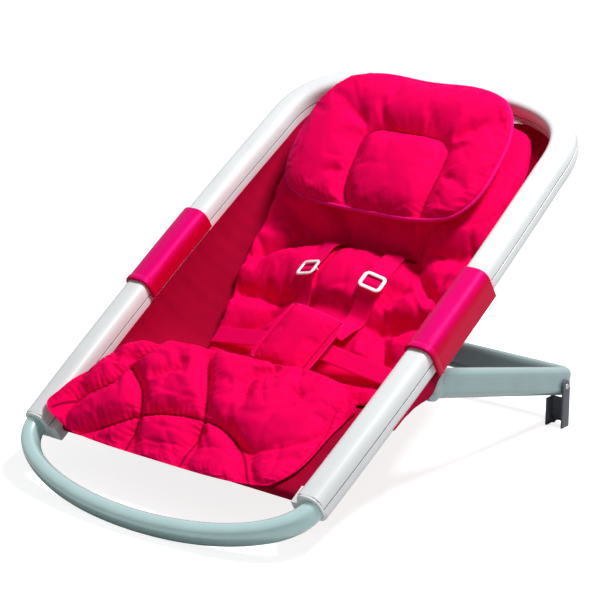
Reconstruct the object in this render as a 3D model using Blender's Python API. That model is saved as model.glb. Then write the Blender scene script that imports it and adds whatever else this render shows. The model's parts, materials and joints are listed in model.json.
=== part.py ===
"""Baby bouncer: a tilted white frame with a metal front bow, a folding rear leg and a padded sling seat.

Units are metres, +Z is up, +X is the sitter's left-hand rail and -Y is the foot end.  The rigid
pieces of the frame are drawn in the frame's own plane, where u runs across, v runs from the foot
end to the head end and n stands square to the plane, and an empty lays that plane at its tilt.
"""
import math

import bmesh
import bpy
import numpy as np
from mathutils import Matrix, Vector

# Clearances, and how far a cutter runs past what it cuts
GAP = 0.0003
SOFT_GAP = 0.0014
RUNNING_GAP = 0.0005
OVERCUT = 0.0200

# The frame: two barrel-shaped side rails joined by a round-cornered head arch
TILT = math.radians(30.86)
RAIL_LENGTH = 0.5148
RAIL_HALF_FOOT = 0.1977
RAIL_HALF_MIDDLE = 0.2050
RAIL_HALF_HEAD = 0.2008
ARCH_DEPTH = 0.1110
ARCH_ROUNDNESS = 3.09
RAIL_WIDTH = 0.0313
RAIL_HEIGHT = 0.0378
RAIL_ROUNDNESS = 3.0
RAIL_WALL = 0.0022
PARTING_BELOW_TOP = 0.0316
SHELL_POINTS = 10
FRAME_STEP = 0.1050
FRAME_TURN = math.radians(15.0)

# The front bow, a flat-oval metal tube whose ends sit in the rails
BOW_SHIFT = 0.0033
BOW_HALF_SPAN = RAIL_HALF_FOOT + BOW_SHIFT
BOW_REACH = 0.0809
BOW_ROUNDNESS = 2.03
BOW_WIDTH = 0.0196
BOW_HEIGHT = 0.0274
BOW_SECTION_ROUNDNESS = 2.7
BOW_WALL = 0.0018
BOW_INSERT = 0.0550
BOW_POINTS = 14
BOW_LAND_DEPTH = 0.0007
BOW_STEP = 0.0700
BOW_TURN = math.radians(12.0)

# End caps that close the rails and carry the rod in the seat's front hem
CAP_FLANGE = 0.0025
CAP_INSERT = 0.0420
CAP_CLEARANCE = 0.0008
LUG_REACH = 0.0110
LUG_LENGTH = 0.0200
LUG_HEIGHT = 0.0200
LUG_CLEAR = 0.0040
ROD_RADIUS = 0.0050
ROD_V = 0.0130
ROD_N = -0.0090
ROD_SEAT = 0.0080
SCREW_RADIUS = 0.0020
SCREW_HEAD_RADIUS = 0.0038
SCREW_HEAD_HEIGHT = 0.0018
SCREW_LENGTH = 0.0090
SCREW_V = 0.0300

# Glossy covers over the hinges, open below, and the cloth skirts that carry on their lower edge
COVER_START = 0.2158
COVER_END = 0.3425
COVER_WALL = 0.0026
COVER_CLEARANCE = 0.0009
COVER_OUTER_DROP = 0.0310
COVER_INNER_DROP = 0.0055
COVER_SLANT = 0.0120
COVER_LIP = 0.0008
COVER_LIP_LENGTH = 0.0050
SKIRT_START = 0.1270
SKIRT_DROP = 0.0172
SKIRT_THICKNESS = 0.0014
SKIRT_SWAY = 0.0008
SKIRT_PROFILE = ((0.0, 0.12), (0.36, 0.64), (0.70, 1.0), (0.87, 1.0), (1.0, 0.83))

# The rear leg, a bent flat-oval tube on two hubs; its centre line lies above the line from pivot to foot
PIVOT_V = 0.2109
PIVOT_N = -0.0369
LEG_SLOPE = math.radians(15.43)
LEG_LENGTH = 0.3120
LEG_INSET = 0.0020
LEG_HALF_SPAN = RAIL_HALF_MIDDLE - LEG_INSET
LEG_WIDTH = 0.0180
LEG_HEIGHT = 0.0345
LEG_RISE = 0.0040
LEG_WALL = 0.0018
LEG_BEND = 0.0160
LEG_POINTS = 12
HUB_RADIUS = 0.0150
HUB_NECK = 0.0180
HUB_NECK_HALF = 0.0129
HUB_PLUG = 0.0240
PIN_RADIUS = 0.0040
PIN_HEAD_RADIUS = 0.0070
PIN_HEAD_HEIGHT = 0.0016

# Brackets under the rails
BRACKET_PLATE = 0.0018
BRACKET_CHEEK = 0.0020
BRACKET_FRONT = 0.0160
BRACKET_REAR = 0.0440
BRACKET_EAR = 0.0145
BRACKET_WEB = 0.0133
BRACKET_SCREW_INSET = 0.0110
STOP_OFFSET = 0.0150
STOP_THICKNESS = 0.0030

# Channel-shaped feet riveted to the leg's rear corners
FOOT_AT = 0.2905
FOOT_WALL = 0.0028
FOOT_AHEAD = 0.0065
FOOT_BEHIND = 0.0085
FOOT_EAR = 0.0078
FOOT_INNER_TOP = 0.0185
FOOT_NOTCH_TOP = 0.0050
FOOT_NOTCH_RADIUS = 0.0075
RIVET_RADIUS = 0.0022
RIVET_HEAD_RADIUS = 0.0036
RIVET_HEAD_HEIGHT = 0.0010
RIVET_DEPTH = 0.0100

# Seat cloth; its depth follows these (share of the run, share of the depth) points
SLING_THICKNESS = 0.0016
SLING_CLEARANCE = 0.0012
SLING_EDGE_N = -0.0095
SLING_EDGE_RUN = 0.0450
SLING_DEPTH = 0.1080
SLING_DEEPEST_V = 0.2380
SLING_HEAD_V = 0.6030
SLING_FRONT = ((0.21, 0.14), (0.41, 0.24), (0.59, 0.44), (0.74, 0.72), (0.88, 0.93), (1.0, 1.0))
SLING_BACK = ((0.10, 0.96), (0.25, 0.815), (0.44, 0.645), (0.66, 0.44), (0.855, 0.255), (1.0, 0.11))
SLING_BOX = 4.0
SLING_COLUMNS = 22
SLING_STEP = 0.0800
SLING_HEAD_STEP = 0.0275
SLING_TURN = math.radians(13.0)
HEM_TAIL = 0.0060

# Back cushion; its fullness along the middle is (share of the length, thickness)
BACK_PAD_START = 0.1880
BACK_PAD_END = 0.5980
BACK_PAD_HALF_SEAT = 0.1380
BACK_PAD_HALF_HEAD = 0.1640
BACK_PAD_FULLNESS = ((0.0, 0.0060), (0.07, 0.0200), (0.14, 0.0275), (0.22, 0.0300), (0.28, 0.0250),
                     (0.33, 0.0310), (0.39, 0.0310), (0.47, 0.0190), (0.53, 0.0045), (0.59, 0.0120),
                     (0.68, 0.0200), (0.76, 0.0170), (0.84, 0.0205), (0.92, 0.0210), (1.0, 0.0060))
BACK_PAD_SIDE = 0.30
BACK_PAD_CORNER = 0.18
BACK_PAD_EDGE = 0.0040
BACK_PAD_COLUMNS = 16

# Leg cushion; its seams are drawn through (u, v) points
LEG_PAD_START = -0.0040
LEG_PAD_END = 0.1640
LEG_PAD_FRONT_N = 0.0040
LEG_PAD_CREST = 0.0150
LEG_PAD_TILT = 0.1100
LEG_PAD_RISE = 1.8
LEG_PAD_DROP = 0.0180
LEG_PAD_HALF_FRONT = 0.1750
LEG_PAD_HALF_BACK = 0.1520
LEG_PAD_SHIFT_FRONT = -0.0180
LEG_PAD_SHIFT_BACK = -0.0050
LEG_PAD_CORNER = 0.22
LEG_PAD_SKEW = 0.1200
LEG_PAD_CLIMB = 0.0300
LEG_PAD_EDGE = 0.0070
LEG_PAD_COLUMNS = 28
LEG_PAD_ROWS = 18
LEG_PAD_SEAMS = (((-0.177, 0.013), (-0.160, 0.045), (-0.135, 0.070), (-0.127, 0.100)),
                 ((-0.127, 0.100), (-0.096, 0.078), (-0.082, 0.062), (-0.073, 0.042), (-0.062, -0.004)),
                 ((-0.135, 0.001), (-0.102, 0.024), (-0.074, 0.043), (-0.041, 0.057), (0.004, 0.065),
                  (0.040, 0.060), (0.076, 0.039), (0.111, 0.001)),
                 ((-0.042, 0.142), (-0.016, 0.102), (0.003, 0.066), (0.008, 0.045), (0.017, -0.004)),
                 ((-0.114, 0.135), (-0.129, 0.104), (-0.127, 0.100)))
SEAM_WIDTH = 0.0090
SEAM_DEPTH = 0.0050

# Head pillow
PILLOW_START = 0.4200
PILLOW_END = 0.6120
PILLOW_HALF_WIDTH = 0.1480
PILLOW_LOW_N = -0.0080
PILLOW_HIGH_N = 0.0370
PILLOW_CROWN = 0.0140
PILLOW_EDGE = 0.0060
PILLOW_DIP = 0.0070
PILLOW_CORNER = 0.34
PILLOW_TAPER = 0.13
PILLOW_SEAT = 0.50
PILLOW_PANEL_WIDTH = 0.1180
PILLOW_PANEL_LENGTH = 0.1040

# Harness
LOOK_FROM_N = 0.0200
STRAP_THICKNESS = 0.0016
SHOULDER_STRAP_WIDTH = 0.0250
SHOULDER_U = 0.0470
JOIN_U = 0.0345
SLOT_V = 0.4050
SLOT_RUN = 0.0080
RUN_HIGH_V = 0.3960
RUN_LOW_V = 0.3320
STRAP_LOW_V = 0.3000
SLIDER_AT_V = 0.3440
SLIDER_WIDTH = 0.0330
SLIDER_LENGTH = 0.0220
SLIDER_BAR = 0.0036
SLIDER_CORNER = 0.0050
SLIDER_THICKNESS = 0.0020
CROTCH_PAD_WIDTH = 0.0800
CROTCH_PAD_LENGTH = 0.0800
CROTCH_PAD_THICKNESS = 0.0090
CROTCH_PAD_CORNER = 0.16
CROTCH_PAD_SIDE = 0.35
CROTCH_PAD_V = 0.2370
CROTCH_PAD_N = -0.0480
CROTCH_PAD_LEAN = math.radians(6.0)
CROTCH_PAD_TURN = math.radians(-4.0)
CROTCH_STRAP_WIDTH = 0.0300
CROTCH_STRAP_RUN = 0.0080
BUCKLE_WIDTH = 0.0400
BUCKLE_LENGTH = 0.0300
BUCKLE_CORNER = 0.0050
BUCKLE_THICKNESS = 0.0100
BUTTON_RADIUS = 0.0075
BUTTON_WELL = 0.0070
BUTTON_TRAVEL = 0.0030
WAIST_STRAP_WIDTH = 0.0240
WAIST_OUTER_U = 0.1330
WAIST_V = 0.2340

SIDES = {"left": 1.0, "right": -1.0}

WHITE = ("frame_white", (0.86, 0.88, 0.89), 0.30, 0.0)
BOW_METAL = ("bow_metal", (0.40, 0.50, 0.51), 0.34, 0.85)
LEG_METAL = ("leg_metal", (0.27, 0.37, 0.38), 0.40, 0.80)
FOOT_GREY = ("foot_grey", (0.20, 0.22, 0.25), 0.45, 0.0)
COVER_RED = ("cover_red", (0.75, 0.0, 0.13), 0.16, 0.0)
SLING_RED = ("sling_red", (0.27, 0.005, 0.03), 0.85, 0.0)
CUSHION_RED = ("cushion_red", (0.72, 0.0, 0.055), 0.80, 0.0)
STRAP_RED = ("strap_red", (0.58, 0.0, 0.05), 0.75, 0.0)
SLIDER_WHITE = ("slider_white", (0.88, 0.88, 0.88), 0.35, 0.0)
STEEL = ("steel", (0.55, 0.56, 0.57), 0.35, 1.0)
BUCKLE_GREY = ("buckle_grey", (0.30, 0.31, 0.33), 0.45, 0.0)
BUTTON_RED = ("button_red", (0.62, 0.02, 0.05), 0.40, 0.0)


def clear_scene():
    """Remove every object that the file holds."""
    for thing in list(bpy.data.objects):
        bpy.data.objects.remove(thing, do_unlink=True)


def material(spec):
    """Return the Principled material of a colour spec, made once."""
    name, colour, roughness, metallic = spec
    found = bpy.data.materials.get(name)
    if found:
        return found
    made = bpy.data.materials.new(name)
    made.use_nodes = True
    shader = made.node_tree.nodes["Principled BSDF"]
    shader.inputs["Base Color"].default_value = (*colour, 1.0)
    shader.inputs["Roughness"].default_value = roughness
    shader.inputs["Metallic"].default_value = metallic
    return made


def empty(name, parent, location, tilt=0.0):
    """Return an empty that carries pieces at a place and a turn about X."""
    made = bpy.data.objects.new(name, None)
    bpy.context.collection.objects.link(made)
    made.parent = parent
    made.location = location
    made.rotation_euler = (tilt, 0.0, 0.0)
    return made


def piece(name, bm, spec, parent, location=(0.0, 0.0, 0.0), sharp=35.0):
    """Turn a bmesh into a named object with outward faces and its own material."""
    bmesh.ops.recalc_face_normals(bm, faces=bm.faces)
    mesh = bpy.data.meshes.new(name)
    bm.to_mesh(mesh)
    bm.free()
    mesh.shade_smooth()
    mesh.set_sharp_from_angle(angle=math.radians(sharp))
    mesh.materials.append(material(spec))
    made = bpy.data.objects.new(name, mesh)
    bpy.context.collection.objects.link(made)
    made.parent = parent
    made.location = location
    return made


def combine(target, bm, operation):
    """Apply a Boolean of a bmesh given in the target's own frame."""
    cutter = piece(target.name + "_cutter", bm, STEEL, target.parent, target.location)
    bpy.context.view_layer.update()
    modifier = target.modifiers.new("combine", "BOOLEAN")
    modifier.operation = operation
    modifier.solver = "EXACT"
    modifier.object = cutter
    bpy.context.view_layer.update()
    evaluated = target.evaluated_get(bpy.context.evaluated_depsgraph_get())
    shaped = bpy.data.meshes.new_from_object(evaluated)
    target.modifiers.clear()
    target.data = shaped
    bpy.data.objects.remove(cutter, do_unlink=True)
    return target


def loft(rings):
    """Skin closed rings of equal length into one capped solid."""
    bm = bmesh.new()
    rows = [[bm.verts.new(point) for point in ring] for ring in rings]
    count = len(rows[0])
    for low, high in zip(rows, rows[1:]):
        for i in range(count):
            j = (i + 1) % count
            bm.faces.new((low[i], low[j], high[j], high[i]))
    bm.faces.new(rows[0][::-1])
    bm.faces.new(rows[-1])
    return bm


def tube(outer, inner):
    """Skin outer and inner rings into one tube that is open at both ends."""
    bm = bmesh.new()
    out = [[bm.verts.new(point) for point in ring] for ring in outer]
    ins = [[bm.verts.new(point) for point in ring] for ring in inner]
    count = len(out[0])
    for rows in (out, ins):
        for low, high in zip(rows, rows[1:]):
            for i in range(count):
                j = (i + 1) % count
                bm.faces.new((low[i], low[j], high[j], high[i]))
    for end in (0, -1):
        for i in range(count):
            j = (i + 1) % count
            bm.faces.new((out[end][i], out[end][j], ins[end][j], ins[end][i]))
    return bm


def closed_sheet(top, bottom):
    """Join two equal grids of points into one closed solid."""
    bm = bmesh.new()
    upper = [[bm.verts.new(point) for point in row] for row in top]
    lower = [[bm.verts.new(point) for point in row] for row in bottom]
    rows = len(upper)
    columns = len(upper[0])
    for i in range(rows - 1):
        for j in range(columns - 1):
            bm.faces.new((upper[i][j], upper[i + 1][j], upper[i + 1][j + 1], upper[i][j + 1]))
            bm.faces.new((lower[i][j], lower[i][j + 1], lower[i + 1][j + 1], lower[i + 1][j]))
    rim = [(i, 0) for i in range(rows - 1)]
    rim += [(rows - 1, j) for j in range(columns - 1)]
    rim += [(i, columns - 1) for i in range(rows - 1, 0, -1)]
    rim += [(0, j) for j in range(columns - 1, 0, -1)]
    for (a, b), (c, d) in zip(rim, rim[1:] + rim[:1]):
        bm.faces.new((upper[a][b], lower[a][b], lower[c][d], upper[c][d]))
    return bm


def box(low, high):
    """Return a box between two corners."""
    bm = bmesh.new()
    bmesh.ops.create_cube(bm, size=1.0)
    size = [b - a for a, b in zip(low, high)]
    middle = [(a + b) / 2.0 for a, b in zip(low, high)]
    bmesh.ops.scale(bm, vec=size, verts=bm.verts)
    bmesh.ops.translate(bm, vec=middle, verts=bm.verts)
    return bm


def disc(radius, low, high, centre=(0.0, 0.0), axis="X", segments=28):
    """Return a cylinder along an axis between two stations, centred on the other two coordinates."""
    bm = bmesh.new()
    turn = {"X": Matrix.Rotation(math.pi / 2.0, 4, "Y"), "Y": Matrix.Rotation(math.pi / 2.0, 4, "X"),
            "Z": Matrix.Identity(4)}[axis]
    middle = (low + high) / 2.0
    place = {"X": (middle, *centre), "Y": (centre[0], middle, centre[1]), "Z": (*centre, middle)}[axis]
    bmesh.ops.create_cone(bm, cap_ends=True, segments=segments, radius1=radius, radius2=radius,
                          depth=abs(high - low), matrix=Matrix.Translation(place) @ turn)
    return bm


def headed_pin(radius, head_radius, head_height, length, outward, heads=1):
    """Return a turned pin along X: the first head lies at X = 0 and beyond, the shank runs inward."""
    stations = [(0.0, head_height), (head_radius * 0.8, head_height), (head_radius, head_height * 0.45),
                (head_radius, 0.0), (radius, 0.0), (radius, -length)]
    if heads == 2:
        stations += [(head_radius, -length), (head_radius, -length - head_height * 0.45),
                     (head_radius * 0.8, -length - head_height), (0.0, -length - head_height)]
    else:
        stations += [(0.0, -length)]
    return turned(stations, outward)


def turned(stations, outward=1.0, segments=14):
    """Return the solid turned about X from (radius, station) pairs that start and end on the axis."""
    bm = bmesh.new()
    rings = []
    for radius, along in stations:
        if radius == 0.0:
            rings.append([bm.verts.new((along * outward, 0.0, 0.0))])
            continue
        ring = []
        for i in range(segments):
            angle = 2.0 * math.pi * i / segments
            ring.append(bm.verts.new((along * outward, radius * math.cos(angle), radius * math.sin(angle))))
        rings.append(ring)
    for low, high in zip(rings, rings[1:]):
        for i in range(segments):
            j = (i + 1) % segments
            loop = [low[i % len(low)], low[j % len(low)], high[j % len(high)], high[i % len(high)]]
            corners = list(dict.fromkeys(loop))
            bm.faces.new(corners)
    return bm


def rounded(angle, half_width, half_height, roundness):
    """Return the point of a rounded section at an angle."""
    c = math.cos(angle)
    s = math.sin(angle)
    x = half_width * math.copysign(abs(c) ** (2.0 / roundness), c)
    y = half_height * math.copysign(abs(s) ** (2.0 / roundness), s)
    return x, y


def section(width, height, roundness, count):
    """Return a closed rounded section with evenly spread points."""
    dense = [rounded(2.0 * math.pi * i / 720.0, width / 2.0, height / 2.0, roundness) for i in range(721)]
    return spread(dense, count + 1)[:-1]


def spread(points, count):
    """Return points at equal steps along a polyline."""
    points = np.array(points, dtype=float)
    steps = np.linalg.norm(np.diff(points, axis=0), axis=1)
    along = np.concatenate(([0.0], np.cumsum(steps)))
    wanted = np.linspace(0.0, along[-1], count)
    return [tuple(np.interp(s, along, points[:, k]) for k in range(points.shape[1])) for s in wanted]


def stations_by_turn(points, longest, turn):
    """Pick stations along a dense plane path, closer together where it bends."""
    points = np.array(points, dtype=float)
    delta = np.diff(points, axis=0)
    steps = np.linalg.norm(delta, axis=1)
    heading = np.unwrap(np.arctan2(delta[:, 1], delta[:, 0]))
    bend = np.concatenate(([0.0], np.abs(np.diff(heading))))
    weight = np.concatenate(([0.0], np.cumsum(steps / longest + bend / turn)))
    count = int(math.ceil(weight[-1])) + 1
    wanted = np.linspace(0.0, weight[-1], count)
    return [(np.interp(w, weight, points[:, 0]), np.interp(w, weight, points[:, 1])) for w in wanted]


def curve(pairs):
    """Return a smooth function through (x, y) pairs, with no overshoot between them."""
    xs = np.array([p[0] for p in pairs])
    ys = np.array([p[1] for p in pairs])
    slope = np.diff(ys) / np.diff(xs)
    tangent = np.zeros(len(xs))
    for i in range(1, len(xs) - 1):
        if slope[i - 1] * slope[i] > 0.0:
            tangent[i] = 2.0 * slope[i - 1] * slope[i] / (slope[i - 1] + slope[i])
    tangent[0] = slope[0]
    tangent[-1] = slope[-1]

    def value(x):
        x = min(max(x, xs[0]), xs[-1])
        i = min(int(np.searchsorted(xs, x, side="right")) - 1, len(xs) - 2)
        h = xs[i + 1] - xs[i]
        t = (x - xs[i]) / h
        a = (1.0 + 2.0 * t) * (1.0 - t) ** 2 * ys[i] + t * (1.0 - t) ** 2 * h * tangent[i]
        b = t * t * (3.0 - 2.0 * t) * ys[i + 1] + t * t * (t - 1.0) * h * tangent[i + 1]
        return float(a + b)
    return value


def rail_half(v):
    """Return the half distance between the side rails' centres at a station."""
    s = v / RAIL_LENGTH
    foot = RAIL_HALF_FOOT * (1.0 - s) * (1.0 - 2.0 * s)
    middle = RAIL_HALF_MIDDLE * 4.0 * s * (1.0 - s)
    head = RAIL_HALF_HEAD * s * (2.0 * s - 1.0)
    return foot + middle + head


def frame_path():
    """Return the frame's centre line from the right foot end round the head to the left foot end."""
    half = [(rail_half(RAIL_LENGTH * i / 60.0), RAIL_LENGTH * i / 60.0) for i in range(60)]
    for i in range(241):
        angle = math.pi / 2.0 * i / 240.0
        across = RAIL_HALF_HEAD * math.cos(angle) ** (2.0 / ARCH_ROUNDNESS)
        along = RAIL_LENGTH + ARCH_DEPTH * math.sin(angle) ** (2.0 / ARCH_ROUNDNESS)
        half.append((max(across, 0.0), along))
    return half + [(-u, v) for u, v in half[-2::-1]]


def bow_path():
    """Return the bow's centre line from its left insert round the front to its right insert."""
    half = [(BOW_HALF_SPAN, BOW_INSERT), (BOW_HALF_SPAN, BOW_INSERT * 0.5)]
    for i in range(181):
        angle = math.pi / 2.0 * i / 180.0
        across = BOW_HALF_SPAN * math.cos(angle) ** (2.0 / BOW_ROUNDNESS)
        along = -BOW_REACH * math.sin(angle) ** (2.0 / BOW_ROUNDNESS)
        half.append((max(across, 0.0), along))
    return half + [(-u, v) for u, v in half[-2::-1]]


def sweep_rings(path, shape, outside):
    """Place a section along a plane path; x runs to the outer side and y runs along n."""
    rings = []
    for k, (u, v) in enumerate(path):
        before = path[max(k - 1, 0)]
        after = path[min(k + 1, len(path) - 1)]
        tangent = Vector((after[0] - before[0], after[1] - before[1], 0.0))
        if k in (0, len(path) - 1):
            tangent.x = 0.0
        tangent.normalize()
        side = Vector((tangent.y, -tangent.x, 0.0)) * outside
        rings.append([Vector((u, v, 0.0)) + side * x + Vector((0.0, 0.0, y)) for x, y in shape])
    return rings


def shell_section(upper):
    """Return the C-shaped section of the frame's upper or lower shell."""
    a = RAIL_WIDTH / 2.0
    b = RAIL_HEIGHT / 2.0
    cut = b - PARTING_BELOW_TOP - (0.0 if upper else GAP)

    def arc(half_width, half_height, reverse):
        start = -math.asin(min(abs(cut) / half_height, 1.0) ** (RAIL_ROUNDNESS / 2.0))
        end = math.pi - start
        if not upper:
            start, end = end, 2.0 * math.pi + start
        span = [rounded(start + (end - start) * i / 200.0, half_width, half_height, RAIL_ROUNDNESS)
                for i in range(201)]
        points = spread(span, SHELL_POINTS if upper else SHELL_POINTS - 2)
        return points[::-1] if reverse else points
    return arc(a, b, False) + arc(a - RAIL_WALL, b - RAIL_WALL, True)


def make_frame(plane):
    """Build the two moulded shells that close on each other along the parting line."""
    path = stations_by_turn(frame_path(), FRAME_STEP, FRAME_TURN)
    for name, upper in (("frame_upper_shell", True), ("frame_lower_shell", False)):
        rings = sweep_rings(path, shell_section(upper), 1.0)
        piece(name, loft(rings), WHITE, plane)
    lower = bpy.data.objects["frame_lower_shell"]
    for sign in SIDES.values():
        combine(lower, screw_hole(sign), "DIFFERENCE")


def make_bow(plane):
    """Build the front bow with a flat land where it stands on the floor."""
    path = stations_by_turn(bow_path(), BOW_STEP, BOW_TURN)
    outer = sweep_rings(path, section(BOW_WIDTH, BOW_HEIGHT, BOW_SECTION_ROUNDNESS, BOW_POINTS), -1.0)
    inner = sweep_rings(path, section(BOW_WIDTH - 2.0 * BOW_WALL, BOW_HEIGHT - 2.0 * BOW_WALL,
                                      BOW_SECTION_ROUNDNESS, BOW_POINTS), -1.0)
    bow = piece("front_bow", tube(outer, inner), BOW_METAL, plane)
    floor = box((-RAIL_LENGTH, -RAIL_LENGTH, -OVERCUT), (RAIL_LENGTH, RAIL_LENGTH, 0.0))
    floor.transform(plane_matrix().inverted())
    combine(bow, floor, "DIFFERENCE")
    for sign in SIDES.values():
        combine(bow, screw_hole(sign), "DIFFERENCE")


def bow_low_point():
    """Return how far the bow's lowest point lies below the rails' foot ends."""
    lowest = 0.0
    for x, y in section(BOW_WIDTH, BOW_HEIGHT, BOW_SECTION_ROUNDNESS, BOW_POINTS):
        v = -BOW_REACH - x
        lowest = min(lowest, v * math.sin(TILT) + y * math.cos(TILT))
    return -lowest


def foot_end_height():
    """Return the height of the rails' foot ends over the floor."""
    return bow_low_point() - BOW_LAND_DEPTH


def plane_matrix():
    """Return the frame plane's place in the world before centring."""
    return Matrix.Translation((0.0, 0.0, foot_end_height())) @ Matrix.Rotation(TILT, 4, "X")


def span(sign, near, far, low_v, high_v, low_n, high_n):
    """Return a box given by distances from the middle on one side."""
    low_u, high_u = sorted((sign * near, sign * far))
    return box((low_u, low_v, low_n), (high_u, high_v, high_n))


def make_end_caps(plane):
    """Build the caps, each with a flange, a part that grips the bow and a lug for the hem rod."""
    nick = GAP / 2.0
    for side, sign in SIDES.items():
        centre = rail_half(0.0)
        flange = section(RAIL_WIDTH, RAIL_HEIGHT, RAIL_ROUNDNESS, 20)
        rings = [[(sign * (centre + x), v, y) for x, y in flange] for v in (-CAP_FLANGE - GAP, -GAP)]
        cap = piece("end_cap_" + side, loft(rings), WHITE, plane)
        inset = RAIL_WALL + CAP_CLEARANCE
        filler = section(RAIL_WIDTH - 2.0 * inset, RAIL_HEIGHT - 2.0 * inset, RAIL_ROUNDNESS, 20)
        rings = [[(sign * (rail_half(max(v, 0.0)) + x), v, y) for x, y in filler]
                 for v in (-CAP_FLANGE / 2.0, 0.0, CAP_INSERT / 2.0, CAP_INSERT)]
        combine(cap, loft(rings), "UNION")
        inner_face = centre - RAIL_WIDTH / 2.0
        tip = inner_face - LUG_REACH
        low_n, high_n = ROD_N - LUG_HEIGHT / 2.0, ROD_N + LUG_HEIGHT / 2.0
        bridge = span(sign, tip + nick, centre - RAIL_WIDTH / 4.0, -CAP_FLANGE - GAP + nick, -GAP - nick,
                      low_n + nick, high_n - nick)
        combine(cap, bridge, "UNION")
        lug = span(sign, tip, inner_face - GAP, -CAP_FLANGE - GAP + 2.0 * nick, LUG_LENGTH, low_n, high_n)
        combine(cap, lug, "UNION")
        seat = disc(ROD_RADIUS + GAP, sign * (tip - GAP), sign * (tip + ROD_SEAT), (ROD_V, ROD_N), "X", 20)
        combine(cap, seat, "DIFFERENCE")
        bore = section(BOW_WIDTH + 2.0 * GAP, BOW_HEIGHT + 2.0 * GAP, BOW_SECTION_ROUNDNESS, BOW_POINTS)
        ends = (-OVERCUT, CAP_INSERT + OVERCUT)
        rings = [[(sign * (BOW_HALF_SPAN + x), v, y) for x, y in bore] for v in ends]
        combine(cap, loft(rings), "DIFFERENCE")
        outside = span(sign, BOW_HALF_SPAN + BOW_WIDTH / 4.0, BOW_HALF_SPAN + RAIL_WIDTH, -nick,
                       2.0 * CAP_INSERT, -RAIL_HEIGHT, RAIL_HEIGHT)
        combine(cap, outside, "DIFFERENCE")
        combine(cap, screw_hole(sign), "DIFFERENCE")


def screw_hole(sign):
    """Return the hole for a bow screw, from under the rail into the bow's tube."""
    return disc(SCREW_RADIUS + GAP, -RAIL_HEIGHT, 0.0, (sign * BOW_HALF_SPAN, SCREW_V), "Z", 16)


def make_rod_and_screws(plane):
    """Build the rod in the front hem and the screws that hold the caps in the rails."""
    reach = rail_half(0.0) - RAIL_WIDTH / 2.0 - LUG_REACH + ROD_SEAT - GAP
    piece("front_crossbar", disc(ROD_RADIUS, -reach, reach, (ROD_V, ROD_N), "X", 20), STEEL, plane)
    for side, sign in SIDES.items():
        seat = -rail_bottom(BOW_HALF_SPAN - rail_half(SCREW_V)) - GAP
        piece("bow_screw_" + side, screw(), STEEL, plane, (sign * BOW_HALF_SPAN, SCREW_V, seat))


def screw():
    """Return a screw with its shank along +Z and its head below the origin."""
    bm = headed_pin(SCREW_RADIUS, SCREW_HEAD_RADIUS, SCREW_HEAD_HEIGHT, SCREW_LENGTH, -1.0)
    bm.transform(Matrix.Rotation(-math.pi / 2.0, 4, "Y"))
    return bm


def rail_bottom(offset, grow=0.0):
    """Return how far the rail's underside lies from its centre, at an offset across the rail."""
    a = RAIL_WIDTH / 2.0 + grow
    b = RAIL_HEIGHT / 2.0 + grow
    share = min(abs(offset) / a, 1.0)
    return b * (1.0 - share ** RAIL_ROUNDNESS) ** (1.0 / RAIL_ROUNDNESS)


def cover_section(lip):
    """Return the open-bottomed section of a hinge cover."""
    inner_a = RAIL_WIDTH / 2.0 + COVER_CLEARANCE
    inner_b = RAIL_HEIGHT / 2.0 + COVER_CLEARANCE
    outer_a = inner_a + COVER_WALL + lip
    outer_b = inner_b + COVER_WALL + lip
    top = [rounded(math.pi * i / 120.0, outer_a, outer_b, RAIL_ROUNDNESS) for i in range(121)]
    under = [rounded(math.pi * i / 120.0, inner_a, inner_b, RAIL_ROUNDNESS) for i in range(121)]
    edge = COVER_WALL * 0.3
    points = [(outer_a - edge, -COVER_OUTER_DROP), (outer_a, -COVER_OUTER_DROP + edge)]
    points += spread(top, 13)
    points += [(-outer_a, -COVER_INNER_DROP + edge), (-outer_a + edge, -COVER_INNER_DROP)]
    points += [(-inner_a, -COVER_INNER_DROP)]
    points += spread(under, 11)[::-1]
    points += [(inner_a, -COVER_OUTER_DROP)]
    return points


def make_covers(plane):
    """Build the glossy covers with a raised lip at the front end, cut at a slant there."""
    length = COVER_END - COVER_START
    stops = [COVER_START, COVER_START + COVER_LIP_LENGTH, COVER_START + COVER_LIP_LENGTH + COVER_LIP]
    stops += [COVER_START + length * share for share in (0.3, 0.65, 1.0)]
    for side, sign in SIDES.items():
        rings = []
        for k, v in enumerate(stops):
            slant = COVER_SLANT * (COVER_END - v) / length
            ring = []
            for x, y in cover_section(COVER_LIP if k < 2 else 0.0):
                drop = (RAIL_HEIGHT / 2.0 + COVER_WALL - y) / (RAIL_HEIGHT + COVER_WALL)
                ring.append((sign * (rail_half(v) + x), v + slant * drop, y))
            rings.append(ring)
        piece("hinge_cover_" + side, loft(rings), COVER_RED, plane)


def skirt_u():
    """Return the skirts' distance from the middle, just outside the brackets."""
    return LEG_HALF_SPAN + LEG_WIDTH / 2.0 + RUNNING_GAP + BRACKET_CHEEK + PIN_HEAD_HEIGHT + 3.0 * GAP


def make_skirts(plane):
    """Build the cloth skirts that hang from the rails' undersides in front of the covers."""
    length = COVER_START + COVER_SLANT * 0.75 - SKIRT_START
    depth = curve([(SKIRT_START + length * along, SKIRT_DROP * deep) for along, deep in SKIRT_PROFILE])
    u = skirt_u()
    for side, sign in SIDES.items():
        inner, outer = [], []
        for k in range(9):
            v = SKIRT_START + length * k / 8.0
            top = -rail_bottom(u - rail_half(v), GAP) - GAP
            row_in, row_out = [], []
            for j in range(4):
                n = top - depth(v) * j / 3.0
                sway = SKIRT_SWAY * math.sin(math.pi * j / 3.0)
                row_in.append((sign * (u + sway), v, n))
                row_out.append((sign * (u + SKIRT_THICKNESS + sway), v, n))
            inner.append(row_in)
            outer.append(row_out)
        piece("hinge_skirt_" + side, closed_sheet(outer, inner), SLING_RED, plane)


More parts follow.
